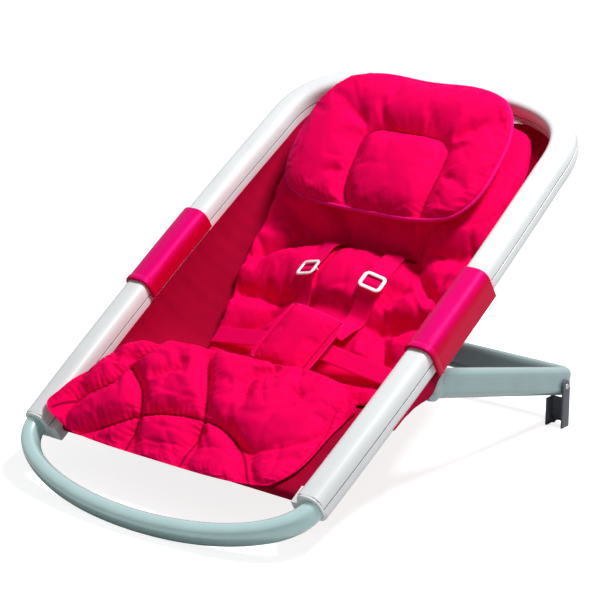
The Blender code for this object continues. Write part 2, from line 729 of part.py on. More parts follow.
def leg_section(wall=0.0):
    """Return the leg tube's flat-oval section; x runs across and y runs square to the leg."""
    radius = LEG_WIDTH / 2.0 - wall
    straight = LEG_HEIGHT / 2.0 - LEG_WIDTH / 2.0
    points = []
    half = LEG_POINTS // 2
    for i in range(half):
        angle = math.pi * i / (half - 1)
        points.append((radius * math.cos(angle), LEG_RISE + straight + radius * math.sin(angle)))
    for i in range(half):
        angle = math.pi + math.pi * i / (half - 1)
        points.append((radius * math.cos(angle), LEG_RISE - straight + radius * math.sin(angle)))
    return points


def make_leg(leg):
    """Build the bent leg tube and the hubs that plug into its ends; the leg lies along +Y."""
    path = [(LEG_HALF_SPAN, HUB_NECK), (LEG_HALF_SPAN, HUB_NECK + HUB_PLUG + LEG_WALL)]
    path.append((LEG_HALF_SPAN, LEG_LENGTH * 0.6))
    for i in range(6):
        angle = math.pi / 2.0 * i / 5.0
        path.append((LEG_HALF_SPAN - LEG_BEND * (1.0 - math.cos(angle)),
                     LEG_LENGTH - LEG_BEND * (1.0 - math.sin(angle))))
    path.append((LEG_HALF_SPAN * 0.35, LEG_LENGTH))
    path += [(-u, v) for u, v in path[::-1]]
    outer = sweep_rings(path, leg_section(), 1.0)
    inner = sweep_rings(path, leg_section(LEG_WALL), 1.0)
    tube_leg = piece("support_leg", tube(outer, inner), LEG_METAL, leg)
    for sign in SIDES.values():
        hole = disc(RIVET_RADIUS + GAP, sign * LEG_HALF_SPAN, sign * (LEG_HALF_SPAN + LEG_WIDTH),
                    (FOOT_AT, 0.0), "X", 14)
        combine(tube_leg, hole, "DIFFERENCE")
    for side, sign in SIDES.items():
        make_hub(side, sign, leg)


def make_hub(side, sign, leg):
    """Build a hub: a round end with the pivot bore, a neck and a plug inside the tube."""
    half = LEG_WIDTH / 2.0
    hub = piece("leg_hub_" + side, disc(HUB_RADIUS, sign * LEG_HALF_SPAN - half, sign * LEG_HALF_SPAN + half,
                                        (0.0, 0.0), "X", 22), WHITE, leg)
    neck = box((sign * LEG_HALF_SPAN - half, 0.0, LEG_RISE - HUB_NECK_HALF),
               (sign * LEG_HALF_SPAN + half, HUB_NECK - GAP, LEG_RISE + HUB_NECK_HALF))
    combine(hub, neck, "UNION")
    shape = leg_section(LEG_WALL + GAP)
    rings = [[(sign * LEG_HALF_SPAN + x, along, y) for x, y in shape]
             for along in (HUB_NECK * 0.5, HUB_NECK + HUB_PLUG)]
    combine(hub, loft(rings), "UNION")
    bore = disc(PIN_RADIUS + GAP, sign * LEG_HALF_SPAN - LEG_WIDTH, sign * LEG_HALF_SPAN + LEG_WIDTH,
                (0.0, 0.0), "X", 20)
    combine(hub, bore, "DIFFERENCE")


def make_brackets(plane):
    """Build each hinge bracket: a plate under the rail, two ears round the hub and a stop for the leg."""
    outer = LEG_WIDTH / 2.0 + RUNNING_GAP + BRACKET_CHEEK
    top = -RAIL_HEIGHT / 2.0 - GAP
    for side, sign in SIDES.items():
        centre = sign * LEG_HALF_SPAN
        plate = box((centre - outer, PIVOT_V - BRACKET_FRONT, top - BRACKET_PLATE),
                    (centre + outer, PIVOT_V + BRACKET_REAR, top))
        bracket = piece("hinge_bracket_" + side, plate, STEEL, plane)
        for edge in (-1.0, 1.0):
            low = centre + edge * (outer - BRACKET_CHEEK)
            high = centre + edge * outer
            ear = disc(BRACKET_EAR, min(low, high), max(low, high), (PIVOT_V, PIVOT_N), "X", 22)
            combine(bracket, ear, "UNION")
            web = box((min(low, high), PIVOT_V - BRACKET_WEB, PIVOT_N),
                      (max(low, high), PIVOT_V + BRACKET_WEB, top - BRACKET_PLATE / 2.0))
            combine(bracket, web, "UNION")
        bottom = stop_bottom()
        stop = box((centre - outer + BRACKET_CHEEK / 2.0, PIVOT_V + STOP_OFFSET, bottom),
                   (centre + outer - BRACKET_CHEEK / 2.0, PIVOT_V + STOP_OFFSET + STOP_THICKNESS,
                    top - BRACKET_PLATE / 2.0))
        combine(bracket, stop, "UNION")
        bore = disc(PIN_RADIUS + GAP, centre - 2.0 * outer, centre + 2.0 * outer, (PIVOT_V, PIVOT_N), "X", 20)
        combine(bracket, bore, "DIFFERENCE")
        make_hinge_pin(side, sign, plane)
        make_bracket_screw(side, sign, plane, bracket, top)


def stop_bottom():
    """Return the height at which the stop meets the leg's upper side when the leg is open."""
    slope = LEG_SLOPE + TILT
    reach = LEG_RISE + HUB_NECK_HALF + GAP
    return PIVOT_N + reach / math.cos(slope) - STOP_OFFSET * math.tan(slope) + GAP


def make_hinge_pin(side, sign, plane):
    """Build the pin that carries a hub between its bracket's ears."""
    outer = LEG_WIDTH / 2.0 + RUNNING_GAP + BRACKET_CHEEK
    length = 2.0 * outer + 2.0 * GAP
    pin = headed_pin(PIN_RADIUS, PIN_HEAD_RADIUS, PIN_HEAD_HEIGHT, length, -sign, heads=2)
    piece("hinge_pin_" + side, pin, STEEL, plane,
          (sign * (LEG_HALF_SPAN - outer - GAP), PIVOT_V, PIVOT_N))


def make_bracket_screw(side, sign, plane, bracket, top):
    """Build the screw that holds a bracket's rear end under the rail, and its holes."""
    v = PIVOT_V + BRACKET_REAR - BRACKET_SCREW_INSET
    u = sign * LEG_HALF_SPAN
    hole = disc(SCREW_RADIUS + GAP, top - 2.0 * BRACKET_PLATE, 0.0, (u, v), "Z", 16)
    combine(bracket, hole, "DIFFERENCE")
    hole = disc(SCREW_RADIUS + GAP, -RAIL_HEIGHT, -RAIL_HEIGHT / 4.0, (u, v), "Z", 16)
    combine(bpy.data.objects["frame_lower_shell"], hole, "DIFFERENCE")
    piece("bracket_screw_" + side, screw(), STEEL, plane, (u, v, top - BRACKET_PLATE - GAP))


def make_foot(side, sign, leg, rivet_height):
    """Build a channel foot that straddles the leg's corner, with its open side to the front."""
    pivot = empty("foot_axis_" + side, leg, (sign * LEG_HALF_SPAN, FOOT_AT, 0.0), LEG_SLOPE)
    half = LEG_WIDTH / 2.0 + RUNNING_GAP
    outer = half + FOOT_WALL
    outer_low, outer_high = sorted((sign * half, sign * outer))
    inner_low, inner_high = sorted((-sign * half, -sign * outer))
    ear = disc(FOOT_EAR, outer_low, outer_high, (0.0, 0.0), "X", 24)
    foot = piece("foot_" + side, ear, FOOT_GREY, pivot)
    wall = box((outer_low, -FOOT_AHEAD, -rivet_height), (outer_high, FOOT_BEHIND, -FOOT_EAR * 0.35))
    combine(foot, wall, "UNION")
    wall = box((inner_low, -FOOT_AHEAD, -rivet_height), (inner_high, FOOT_BEHIND, -FOOT_INNER_TOP))
    combine(foot, wall, "UNION")
    web = box((min(inner_low, outer_low) + FOOT_WALL / 2.0, FOOT_BEHIND - FOOT_WALL, -rivet_height),
              (max(inner_high, outer_high) - FOOT_WALL / 2.0, FOOT_BEHIND, -FOOT_INNER_TOP))
    combine(foot, web, "UNION")
    notch = disc(FOOT_NOTCH_RADIUS, FOOT_BEHIND - 2.0 * FOOT_WALL, FOOT_BEHIND + FOOT_WALL,
                 (0.0, FOOT_NOTCH_TOP - rivet_height - FOOT_NOTCH_RADIUS), "Y", 28)
    combine(foot, notch, "DIFFERENCE")
    bore = disc(RIVET_RADIUS + GAP, sign * (half - FOOT_WALL), sign * (outer + FOOT_WALL), segments=14)
    combine(foot, bore, "DIFFERENCE")
    rivet = headed_pin(RIVET_RADIUS, RIVET_HEAD_RADIUS, RIVET_HEAD_HEIGHT, RIVET_DEPTH, sign)
    piece("foot_rivet_" + side, rivet, STEEL, leg,
          (sign * (LEG_HALF_SPAN + outer + GAP), FOOT_AT, 0.0))


def edge_half():
    """Return a function for the half width of the opening that the seat cloth fills."""
    share = abs(SLING_EDGE_N) / (RAIL_HEIGHT / 2.0)
    a = RAIL_WIDTH / 2.0 * (1.0 - share ** RAIL_ROUNDNESS) ** (1.0 / RAIL_ROUNDNESS)
    path = [p for p in frame_path() if p[0] > 0.0]
    inside = []
    for before, after in zip(path, path[1:]):
        step = Vector((after[0] - before[0], after[1] - before[1]))
        if step.length < 1e-7:
            continue
        step.normalize()
        inside.append((before[0] - step.y * a, before[1] + step.x * a))
    vs = np.array([p[1] for p in inside])
    us = np.array([p[0] for p in inside])
    peak = int(np.argmax(vs))
    return lambda v: float(np.interp(v, vs[:peak + 1], us[:peak + 1]))


OPENING = edge_half()


def hem_top():
    """Return the height of the cloth's middle surface where it lies over the hem rod."""
    return ROD_N + ROD_RADIUS + GAP + SLING_THICKNESS / 2.0


def sling_centre():
    """Return the seat cloth's depth along the middle, from the hem over the knee to the head."""
    front = SLING_DEEPEST_V - ROD_V
    back = SLING_HEAD_V - SLING_DEEPEST_V
    points = [(ROD_V, hem_top())]
    points += [(ROD_V + front * along, -SLING_DEPTH * deep) for along, deep in SLING_FRONT]
    points += [(SLING_DEEPEST_V + back * along, -SLING_DEPTH * deep) for along, deep in SLING_BACK]
    return curve(points)


SLING_CENTRE = sling_centre()


def smooth_step(share):
    """Return a share from 0 to 1 that starts and ends gently."""
    share = min(max(share, 0.0), 1.0)
    return share * share * (3.0 - 2.0 * share)


def sling_edge(v):
    """Return the height of the cloth's side edges, which leave the hem rod and then follow the rails."""
    blend = smooth_step((v - ROD_V) / SLING_EDGE_RUN)
    return hem_top() * (1.0 - blend) + SLING_EDGE_N * blend


def sling_half(v):
    """Return the seat cloth's half width at a station."""
    lug = rail_half(0.0) - RAIL_WIDTH / 2.0 - LUG_REACH - 2.0 * GAP
    wide = OPENING(v) - SLING_CLEARANCE
    share = min(max((v - LUG_LENGTH - LUG_CLEAR) / LUG_CLEAR, 0.0), 1.0)
    return min(wide, lug) * (1.0 - share) + wide * share


def sling_n(u, v):
    """Return the height of the seat cloth's middle surface."""
    share = min(abs(u) / sling_half(v), 1.0)
    fall = math.sqrt(max(1.0 - share ** SLING_BOX, 0.0))
    edge = sling_edge(v)
    return edge + (SLING_CENTRE(v) - edge) * fall


def sling_top(u, v):
    """Return the height of the cloth's upper face, allowing for the slope."""
    step = 0.002
    du = (sling_n(u + step, v) - sling_n(u - step, v)) / (2.0 * step)
    dv = (sling_n(u, v + step) - sling_n(u, v - step)) / (2.0 * step)
    return sling_n(u, v) + SLING_THICKNESS / 2.0 * math.sqrt(1.0 + du * du + dv * dv)


def make_sling(plane):
    """Build the seat cloth: a deep bucket whose front end wraps round the hem rod."""
    start = LUG_LENGTH + 2.0 * LUG_CLEAR
    end = SLING_HEAD_V - 2.0 * SLING_HEAD_STEP
    run = [start + (end - start) * i / 200.0 for i in range(201)]
    along = stations_by_turn([(v, SLING_CENTRE(v)) for v in run], SLING_STEP, SLING_TURN)
    stations = [ROD_V, LUG_LENGTH + LUG_CLEAR] + [v for v, _ in along]
    stations += [SLING_HEAD_V - SLING_HEAD_STEP, SLING_HEAD_V]
    radius = ROD_RADIUS + GAP + SLING_THICKNESS / 2.0
    columns = spread_shares(SLING_COLUMNS, 1.0)
    under = [(ROD_V + HEM_TAIL, ROD_N - radius)]
    for i in range(5):
        angle = math.radians(270.0 - 36.0 * i)
        under.append((ROD_V + radius * math.cos(angle), ROD_N + radius * math.sin(angle)))
    rows = [[Vector((x * sling_half(ROD_V), v, n)) for x in columns] for v, n in under]
    for v in stations:
        rows.append([Vector((x * sling_half(v), v, sling_n(x * sling_half(v), v))) for x in columns])
    top, bottom = offset_rows(rows, SLING_THICKNESS / 2.0)
    piece("seat_sling", closed_sheet(top, bottom), SLING_RED, plane)


def offset_rows(rows, distance):
    """Return a grid moved along its normals to either side; +Z normals come first."""
    top, bottom = [], []
    for i, row in enumerate(rows):
        before = rows[max(i - 1, 0)]
        after = rows[min(i + 1, len(rows) - 1)]
        up, down = [], []
        for j, point in enumerate(row):
            along = after[j] - before[j]
            across = row[min(j + 1, len(row) - 1)] - row[max(j - 1, 0)]
            normal = across.cross(along).normalized()
            up.append(point + normal * distance)
            down.append(point - normal * distance)
        top.append(up)
        bottom.append(down)
    return top, bottom


def spread_shares(count, gather):
    """Return count + 1 shares from -1 to 1; gather, from 0 to 1, draws them towards the ends."""
    shares = []
    for i in range(count + 1):
        even = 2.0 * i / count - 1.0
        shares.append(even * (1.0 - gather) + math.sin(math.pi / 2.0 * even) * gather)
    return shares


def crown(s, t, power=3.0):
    """Return a cushion's fullness, from 0 at its outline to 1 in the middle."""
    return ((1.0 - abs(s) ** power) * (1.0 - abs(t) ** power)) ** 0.5


def groove(distance, width):
    """Return how deep a sewn channel presses in at a distance from its line."""
    return math.exp(-(distance / width) ** 2)


def cushion(name, plane, outline, low, high, shares, edge):
    """Build a padded piece between a lower and an upper surface that meet at a thin edge."""
    across, along = shares
    top, bottom = [], []
    for t in along:
        up, down = [], []
        for s in across:
            u, v = outline(s, t)
            n_low = low(u, v, s, t)
            n_high = max(high(u, v, s, t), n_low + edge)
            up.append(Vector((u, v, n_high)))
            down.append(Vector((u, v, n_low)))
        top.append(up)
        bottom.append(down)
    made = piece(name, closed_sheet(top, bottom), CUSHION_RED, plane, sharp=60.0)
    bpy.context.view_layer.update()
    return made


def soften(s, t, corner):
    """Pull a square's corners in so that it becomes a round-cornered shape."""
    return s * math.sqrt(1.0 - corner * t ** 4), t * math.sqrt(1.0 - corner * s ** 4)


def height_over(carrier, u, v, reach=0.0, reach_along=0.0):
    """Return the highest point of a cushion's upper face round a place, or None beside it."""
    heights = []
    for du in (-reach, 0.0, reach):
        for dv in (-reach_along, 0.0, reach_along):
            above = Vector((u + du, v + dv, LOOK_FROM_N))
            found, place, _, _ = carrier.ray_cast(above, Vector((0.0, 0.0, -1.0)))
            if found:
                heights.append(place.z)
    return max(heights) if heights else None


def make_back_pad(plane):
    """Build the cushion that lines the seat and the back, drawn in along its sewn channels."""
    middle = (BACK_PAD_START + BACK_PAD_END) / 2.0
    reach = (BACK_PAD_END - BACK_PAD_START) / 2.0
    half = curve([(BACK_PAD_START, BACK_PAD_HALF_SEAT), (middle, BACK_PAD_HALF_HEAD - 0.003),
                  (BACK_PAD_END - 0.5 * BACK_PAD_HALF_HEAD, BACK_PAD_HALF_HEAD),
                  (BACK_PAD_END, BACK_PAD_HALF_HEAD - 0.010)])
    fullness = curve([(BACK_PAD_START + 2.0 * reach * along, full) for along, full in BACK_PAD_FULLNESS])

    def outline(s, t):
        s, t = soften(s, t, BACK_PAD_CORNER if t > 0.0 else BACK_PAD_CORNER / 2.0)
        v = middle + reach * t
        return s * half(v), v

    def low(u, v, s, t):
        return sling_top(u, v) + SOFT_GAP

    def high(u, v, s, t):
        side = BACK_PAD_SIDE + (1.0 - BACK_PAD_SIDE) * crown(s, 0.0, 5.0)
        return low(u, v, s, t) + fullness(v) * side
    along = [2.0 * share - 1.0 for share, _ in BACK_PAD_FULLNESS]
    rows = sorted(along + [(a + b) / 2.0 for a, b in zip(along, along[1:])])
    shares = (spread_shares(BACK_PAD_COLUMNS, 0.7), rows)
    return cushion("back_pad", plane, outline, low, high, shares, BACK_PAD_EDGE)


def seam_distance(seam, u, v):
    """Return how far a place lies from a seam drawn through (u, v) points."""
    place = Vector((u, v))
    nearest = []
    for a, b in zip(seam, seam[1:]):
        start = Vector(a)
        run = Vector(b) - start
        share = min(max((place - start).dot(run) / run.length_squared, 0.0), 1.0)
        nearest.append((place - start - run * share).length)
    return min(nearest)


def make_leg_pad(plane):
    """Build the leg cushion, a wedge with curved seams whose outer side lies over one rail."""
    middle = (LEG_PAD_START + LEG_PAD_END) / 2.0
    reach = (LEG_PAD_END - LEG_PAD_START) / 2.0

    def outline(s, t):
        s, t = soften(s, t, LEG_PAD_CORNER)
        share = (1.0 + t) / 2.0
        centre = LEG_PAD_SHIFT_FRONT * (1.0 - share) + LEG_PAD_SHIFT_BACK * share
        half = LEG_PAD_HALF_FRONT * (1.0 - share) + LEG_PAD_HALF_BACK * share
        return centre + s * half, middle + reach * t + LEG_PAD_SKEW * s * half * share

    def low(u, v, s, t):
        bed = sling_top(u, max(v, ROD_V)) + SOFT_GAP
        inner = rail_half(max(v, 0.0)) - RAIL_WIDTH / 2.0 - 2.0 * SOFT_GAP
        climb = smooth_step((abs(u) - inner + LEG_PAD_CLIMB) / LEG_PAD_CLIMB)
        return bed * (1.0 - climb) + (RAIL_HEIGHT / 2.0 + SOFT_GAP) * climb

    def high(u, v, s, t):
        share = smooth_step(LEG_PAD_RISE * (1.0 + t) / 2.0)
        crest = LEG_PAD_FRONT_N + (LEG_PAD_CREST - LEG_PAD_FRONT_N) * share - LEG_PAD_TILT * u
        sewn = max(groove(seam_distance(seam, u, v), SEAM_WIDTH) for seam in LEG_PAD_SEAMS)
        return crest - LEG_PAD_DROP * (1.0 - crown(s, t, 4.0)) - SEAM_DEPTH * sewn
    shares = (spread_shares(LEG_PAD_COLUMNS, 0.45), spread_shares(LEG_PAD_ROWS, 0.45))
    cushion("leg_pad", plane, outline, low, high, shares, LEG_PAD_EDGE)


def make_pillow(plane, back_pad):
    """Build the head pillow, round-cornered with a dip in its upper edge and a stitched middle panel."""
    middle = (PILLOW_START + PILLOW_END) / 2.0
    reach = (PILLOW_END - PILLOW_START) / 2.0

    def outline(s, t):
        s, t = soften(s, t, PILLOW_CORNER)
        lost = PILLOW_TAPER * t * t if t > 0.0 else PILLOW_TAPER / 2.0 * t * t
        wide = PILLOW_HALF_WIDTH * (1.0 - lost)
        dip = PILLOW_DIP * math.exp(-(s / 0.35) ** 2) * max(t, 0.0)
        return s * wide, middle + reach * t - dip

    def mid(v):
        share = (v - PILLOW_START) / (PILLOW_END - PILLOW_START)
        return PILLOW_LOW_N + (PILLOW_HIGH_N - PILLOW_LOW_N) * share

    def low(u, v, s, t):
        full = crown(s, t, 4.0) ** 2
        base = mid(v) - PILLOW_EDGE / 2.0 - PILLOW_CROWN * full
        rest = height_over(back_pad, u, v, SEAM_WIDTH / 5.0, SEAM_WIDTH / 5.0)
        if rest is None:
            return base
        rest += GAP
        sunk = smooth_step((full - PILLOW_SEAT) / (1.0 - PILLOW_SEAT))
        return max(base * (1.0 - sunk) + min(base, rest) * sunk, rest)

    def high(u, v, s, t):
        full = crown(s, t, 4.0)
        across = abs(u) / (PILLOW_PANEL_WIDTH / 2.0)
        along = (v - PILLOW_START) / PILLOW_PANEL_LENGTH
        panel = max(across, along) - 1.0
        return mid(v) + PILLOW_EDGE / 2.0 + PILLOW_CROWN * full - SEAM_DEPTH * groove(panel, 0.16) * full
    shares = (spread_shares(20, 0.5), spread_shares(14, 0.5))
    cushion("head_pillow", plane, outline, low, high, shares, PILLOW_EDGE)


def ribbon(name, plane, centre, width_axis, width):
    """Build a strap from its centre line and the direction of its width."""
    width_axis = Vector(width_axis).normalized()
    top, bottom = [], []
    for k, point in enumerate(centre):
        before = Vector(centre[max(k - 1, 0)])
        after = Vector(centre[min(k + 1, len(centre) - 1)])
        normal = width_axis.cross(after - before).normalized()
        side = width_axis * (width / 2.0)
        lift = normal * (STRAP_THICKNESS / 2.0)
        middle = Vector(point)
        top.append([middle - side + lift, middle + side + lift])
        bottom.append([middle - side - lift, middle + side - lift])
    return piece(name, closed_sheet(top, bottom), STRAP_RED, plane)


def laid_on(carrier, u, v):
    """Return the centre height of a strap that lies on a cushion."""
    reach = SHOULDER_STRAP_WIDTH / 2.0
    return height_over(carrier, u, v, reach, reach / 3.0) + GAP + STRAP_THICKNESS / 2.0


def straight_run(back_pad, u):
    """Return the strap's centre heights at the low and high end of the run that the slider rides on."""
    clear = STRAP_THICKNESS / 2.0 + SLIDER_THICKNESS + 2.0 * GAP
    steps = 24
    stations = [RUN_LOW_V + (RUN_HIGH_V - RUN_LOW_V) * i / steps for i in range(steps + 1)]
    reach = SLIDER_WIDTH / 2.0
    tops = [max(height_over(back_pad, u + du, v) for du in (-reach, 0.0, reach)) for v in stations]
    chord = [tops[0] + (tops[-1] - tops[0]) * i / steps for i in range(steps + 1)]
    lift = max(top - line for top, line in zip(tops, chord)) + clear
    return tops[0] + lift, tops[-1] + lift


def make_shoulder_straps(plane, back_pad, waist_join):
    """Build the shoulder straps, from their slots over the cushion to the waist straps, and the sliders."""
    for side, sign in SIDES.items():
        u = sign * SHOULDER_U
        near, far = straight_run(back_pad, u)
        slope = math.atan2(far - near, RUN_HIGH_V - RUN_LOW_V)
        mouth = SLOT_V + SLOT_RUN
        bend = sign * (SHOULDER_U + JOIN_U) / 2.0
        centre = [waist_join[side], (bend, STRAP_LOW_V, laid_on(back_pad, bend, STRAP_LOW_V)),
                  (u, RUN_LOW_V, near), (u, RUN_HIGH_V, far), (u, mouth, laid_on(back_pad, u, mouth))]
        ribbon("shoulder_strap_" + side, plane, centre, (1.0, 0.0, 0.0), SHOULDER_STRAP_WIDTH)
        n = near + (far - near) * (SLIDER_AT_V - RUN_LOW_V) / (RUN_HIGH_V - RUN_LOW_V)
        make_slider(side, plane, (u, SLIDER_AT_V, n), slope)


def make_slider(side, plane, place, slope):
    """Build a slider: a ring over the strap whose middle bar passes under it."""
    seat = empty("slider_axis_" + side, plane, place, slope)
    x, y = SLIDER_WIDTH / 2.0, SLIDER_LENGTH / 2.0
    over = STRAP_THICKNESS / 2.0 + GAP
    nick = SLIDER_THICKNESS / 5.0
    ring = rounded_slab(x, y, SLIDER_CORNER, over, over + SLIDER_THICKNESS)
    slider = piece("strap_slider_" + side, ring, SLIDER_WHITE, seat)
    window = rounded_slab(x - SLIDER_BAR, y - SLIDER_BAR, SLIDER_CORNER / 2.0, -x, x)
    combine(slider, window, "DIFFERENCE")
    gate = SHOULDER_STRAP_WIDTH / 2.0 + GAP
    for edge in (-1.0, 1.0):
        low, high = sorted((edge * gate, edge * (x - nick)))
        post = box((low, -SLIDER_BAR / 2.0, -over - SLIDER_THICKNESS + nick),
                   (high, SLIDER_BAR / 2.0, over + SLIDER_THICKNESS / 2.0))
        combine(slider, post, "UNION")
    bar = box((-gate - nick, -SLIDER_BAR / 2.0 + nick / 2.0, -over - SLIDER_THICKNESS + 1.5 * nick),
              (gate + nick, SLIDER_BAR / 2.0 - nick / 2.0, -over))
    combine(slider, bar, "UNION")


def rounded_slab(x, y, radius, low, high):
    """Return a slab with round corners between two heights."""
    ring = []
    for cx, cy, start in ((x - radius, y - radius, 0.0), (radius - x, y - radius, 90.0),
                          (radius - x, radius - y, 180.0), (x - radius, radius - y, 270.0)):
        for i in range(4):
            angle = math.radians(start + 30.0 * i)
            ring.append((cx + radius * math.cos(angle), cy + radius * math.sin(angle)))
    return loft([[(px, py, n) for px, py in ring] for n in (low, high)])


def make_crotch_pad(frame):
    """Build the bib-shaped pad that covers the buckle."""
    turn = Matrix.Rotation(CROTCH_PAD_TURN, 4, "Z")
    top, bottom = [], []
    for t in spread_shares(10, 1.0):
        up, down = [], []
        for s in spread_shares(12, 1.0):
            a, b = soften(s, t, CROTCH_PAD_CORNER)
            full = CROTCH_PAD_SIDE + (1.0 - CROTCH_PAD_SIDE) * crown(s, t, 4.0)
            x = a * CROTCH_PAD_WIDTH / 2.0
            y = b * CROTCH_PAD_LENGTH / 2.0
            up.append(turn @ Vector((x, y, CROTCH_PAD_THICKNESS * full)))
            down.append(turn @ Vector((x, y, 0.0)))
        top.append(up)
        bottom.append(down)
    piece("crotch_pad", closed_sheet(top, bottom), CUSHION_RED, frame)


def make_buckle(frame):
    """Build the buckle behind the crotch pad and the push button in its well."""
    back = -GAP - BUCKLE_THICKNESS
    shape = rounded_slab(BUCKLE_WIDTH / 2.0, BUCKLE_LENGTH / 2.0, BUCKLE_CORNER, back, -GAP)
    buckle = piece("buckle_body", shape, BUCKLE_GREY, frame)
    well = disc(BUTTON_RADIUS + GAP, back - GAP, back + BUTTON_WELL, (0.0, 0.0), "Z", 24)
    combine(buckle, well, "DIFFERENCE")
    height = BUTTON_WELL - BUTTON_TRAVEL - GAP
    piece("buckle_button", disc(BUTTON_RADIUS, 0.0, height, (0.0, 0.0), "Z", 24), BUTTON_RED, frame,
          (0.0, 0.0, back + GAP))


def make_crotch_strap(plane, to_plane, back_pad):
    """Build the strap that rises from the seat to the buckle's foot."""
    depth = -GAP - BUCKLE_THICKNESS / 2.0
    u, v, n = to_plane @ Vector((0.0, -BUCKLE_LENGTH / 2.0 - GAP - STRAP_THICKNESS / 2.0, depth))
    foot = v - CROTCH_STRAP_RUN
    sole = laid_on(back_pad, 0.0, foot)
    centre = [(0.0, foot - SLOT_RUN, laid_on(back_pad, 0.0, foot - SLOT_RUN)), (0.0, foot, sole),
              (0.0, v - 0.3 * CROTCH_STRAP_RUN, (n + sole) / 2.0), (0.0, v, n)]
    ribbon("crotch_strap", plane, centre, (1.0, 0.0, 0.0), CROTCH_STRAP_WIDTH)


def make_waist_straps(plane, to_plane, back_pad):
    """Build the waist straps from the buckle's sides to the seat's sides; return where the others join."""
    up = (to_plane.to_3x3() @ Vector((0.0, 1.0, 0.0))).normalized()
    depth = -GAP - BUCKLE_THICKNESS / 2.0
    joins = {}
    for side, sign in SIDES.items():
        start = to_plane @ Vector((sign * (BUCKLE_WIDTH / 2.0 + GAP), 0.0, depth))
        centre = [tuple(start)]
        for share in (0.35, 0.7, 0.9, 1.0):
            u = start.x + (sign * WAIST_OUTER_U - start.x) * share
            v = start.y + (WAIST_V - start.y) * share
            reach = WAIST_STRAP_WIDTH / 2.0
            rest = height_over(back_pad, u, v, reach, reach) + GAP + STRAP_THICKNESS / 2.0
            centre.append((u, v, max(start.z * (1.0 - share) + rest * share, rest)))
        ribbon("waist_strap_" + side, plane, centre, up, WAIST_STRAP_WIDTH)
        share = (sign * JOIN_U - start.x) / (centre[1][0] - start.x)
        over = start + (Vector(centre[1]) - start) * share
        joins[side] = tuple(over + up * (WAIST_STRAP_WIDTH / 2.0 + GAP + STRAP_THICKNESS / 2.0))
    return joins


def make_harness(plane, back_pad):
    """Build the five-point harness: crotch pad, buckle, crotch strap, waist and shoulder straps."""
    frame = empty("crotch_axis", plane, (0.0, CROTCH_PAD_V, CROTCH_PAD_N), CROTCH_PAD_LEAN)
    bpy.context.view_layer.update()
    to_plane = plane.matrix_world.inverted() @ frame.matrix_world
    make_crotch_pad(frame)
    make_buckle(frame)
    make_crotch_strap(plane, to_plane, back_pad)
    joins = make_waist_straps(plane, to_plane, back_pad)
    make_shoulder_straps(plane, back_pad, joins)


def centre_on_floor(root):
    """Move the model so that its box is centred over the origin and stands on the floor."""
    bpy.context.view_layer.update()
    points = []
    for thing in bpy.data.objects:
        if thing.type == "MESH":
            points += [thing.matrix_world @ vertex.co for vertex in thing.data.vertices]
    low = min(p.y for p in points)
    high = max(p.y for p in points)
    root.location.y = -(low + high) / 2.0
    bpy.context.view_layer.update()


def main():
    """Build the bouncer."""
    clear_scene()
    root = empty("bouncer_root", None, (0.0, 0.0, 0.0))
    plane = empty("frame_plane", root, (0.0, 0.0, foot_end_height()), TILT)
    pivot = plane_matrix() @ Vector((0.0, PIVOT_V, PIVOT_N))
    leg = empty("leg_axis", root, pivot, -LEG_SLOPE)
    bpy.context.view_layer.update()
    make_frame(plane)
    make_bow(plane)
    make_end_caps(plane)
    make_rod_and_screws(plane)
    make_covers(plane)
    make_skirts(plane)
    make_leg(leg)
    make_brackets(plane)
    rivet_height = pivot.z - FOOT_AT * math.sin(LEG_SLOPE)
    for side, sign in SIDES.items():
        make_foot(side, sign, leg, rivet_height)
    make_sling(plane)
    back_pad = make_back_pad(plane)
    make_leg_pad(plane)
    make_pillow(plane, back_pad)
    make_harness(plane, back_pad)
    centre_on_floor(root)


main()
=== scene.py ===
"""Dress a baby bouncer: white moulded frame, metal bow and leg, padded cloth seat and harness."""

from __future__ import annotations

import json
import logging
import math
from dataclasses import dataclass, field
from enum import Enum
from typing import NamedTuple, Sequence

import bmesh
import bpy
import numpy as np
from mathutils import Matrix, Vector
from mathutils.bvhtree import BVHTree


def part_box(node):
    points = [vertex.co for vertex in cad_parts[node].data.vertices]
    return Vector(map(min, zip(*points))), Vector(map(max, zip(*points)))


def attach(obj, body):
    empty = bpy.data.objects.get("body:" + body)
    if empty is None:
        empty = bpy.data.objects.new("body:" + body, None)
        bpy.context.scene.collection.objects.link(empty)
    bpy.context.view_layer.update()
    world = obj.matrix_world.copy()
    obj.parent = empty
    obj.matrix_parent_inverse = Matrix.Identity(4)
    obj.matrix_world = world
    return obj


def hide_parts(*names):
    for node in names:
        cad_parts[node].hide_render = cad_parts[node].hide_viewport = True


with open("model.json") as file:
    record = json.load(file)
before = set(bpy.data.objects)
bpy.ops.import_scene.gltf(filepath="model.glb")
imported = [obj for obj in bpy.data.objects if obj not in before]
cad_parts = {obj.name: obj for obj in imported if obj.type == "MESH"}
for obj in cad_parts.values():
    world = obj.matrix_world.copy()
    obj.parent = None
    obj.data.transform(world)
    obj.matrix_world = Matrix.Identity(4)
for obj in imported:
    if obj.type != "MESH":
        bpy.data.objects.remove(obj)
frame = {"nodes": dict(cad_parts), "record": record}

LOG = logging.getLogger("bouncer")
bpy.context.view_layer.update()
SIDES = {"left": 1.0, "right": -1.0}
HAIR = 0.0003  # what cloth stays clear of the piece that it lies on
CLOTH_EDGE = 60.0  # edges of cloth over this angle, in degrees, stay sharp
TUBE_EDGE = 80.0

Array = np.ndarray
Grids = tuple[Array, Array]
Triple = tuple[float, float, float]
Colour = Triple
Seam = tuple[tuple[float, float], ...]
Material = bpy.types.Material
Piece = bpy.types.Object


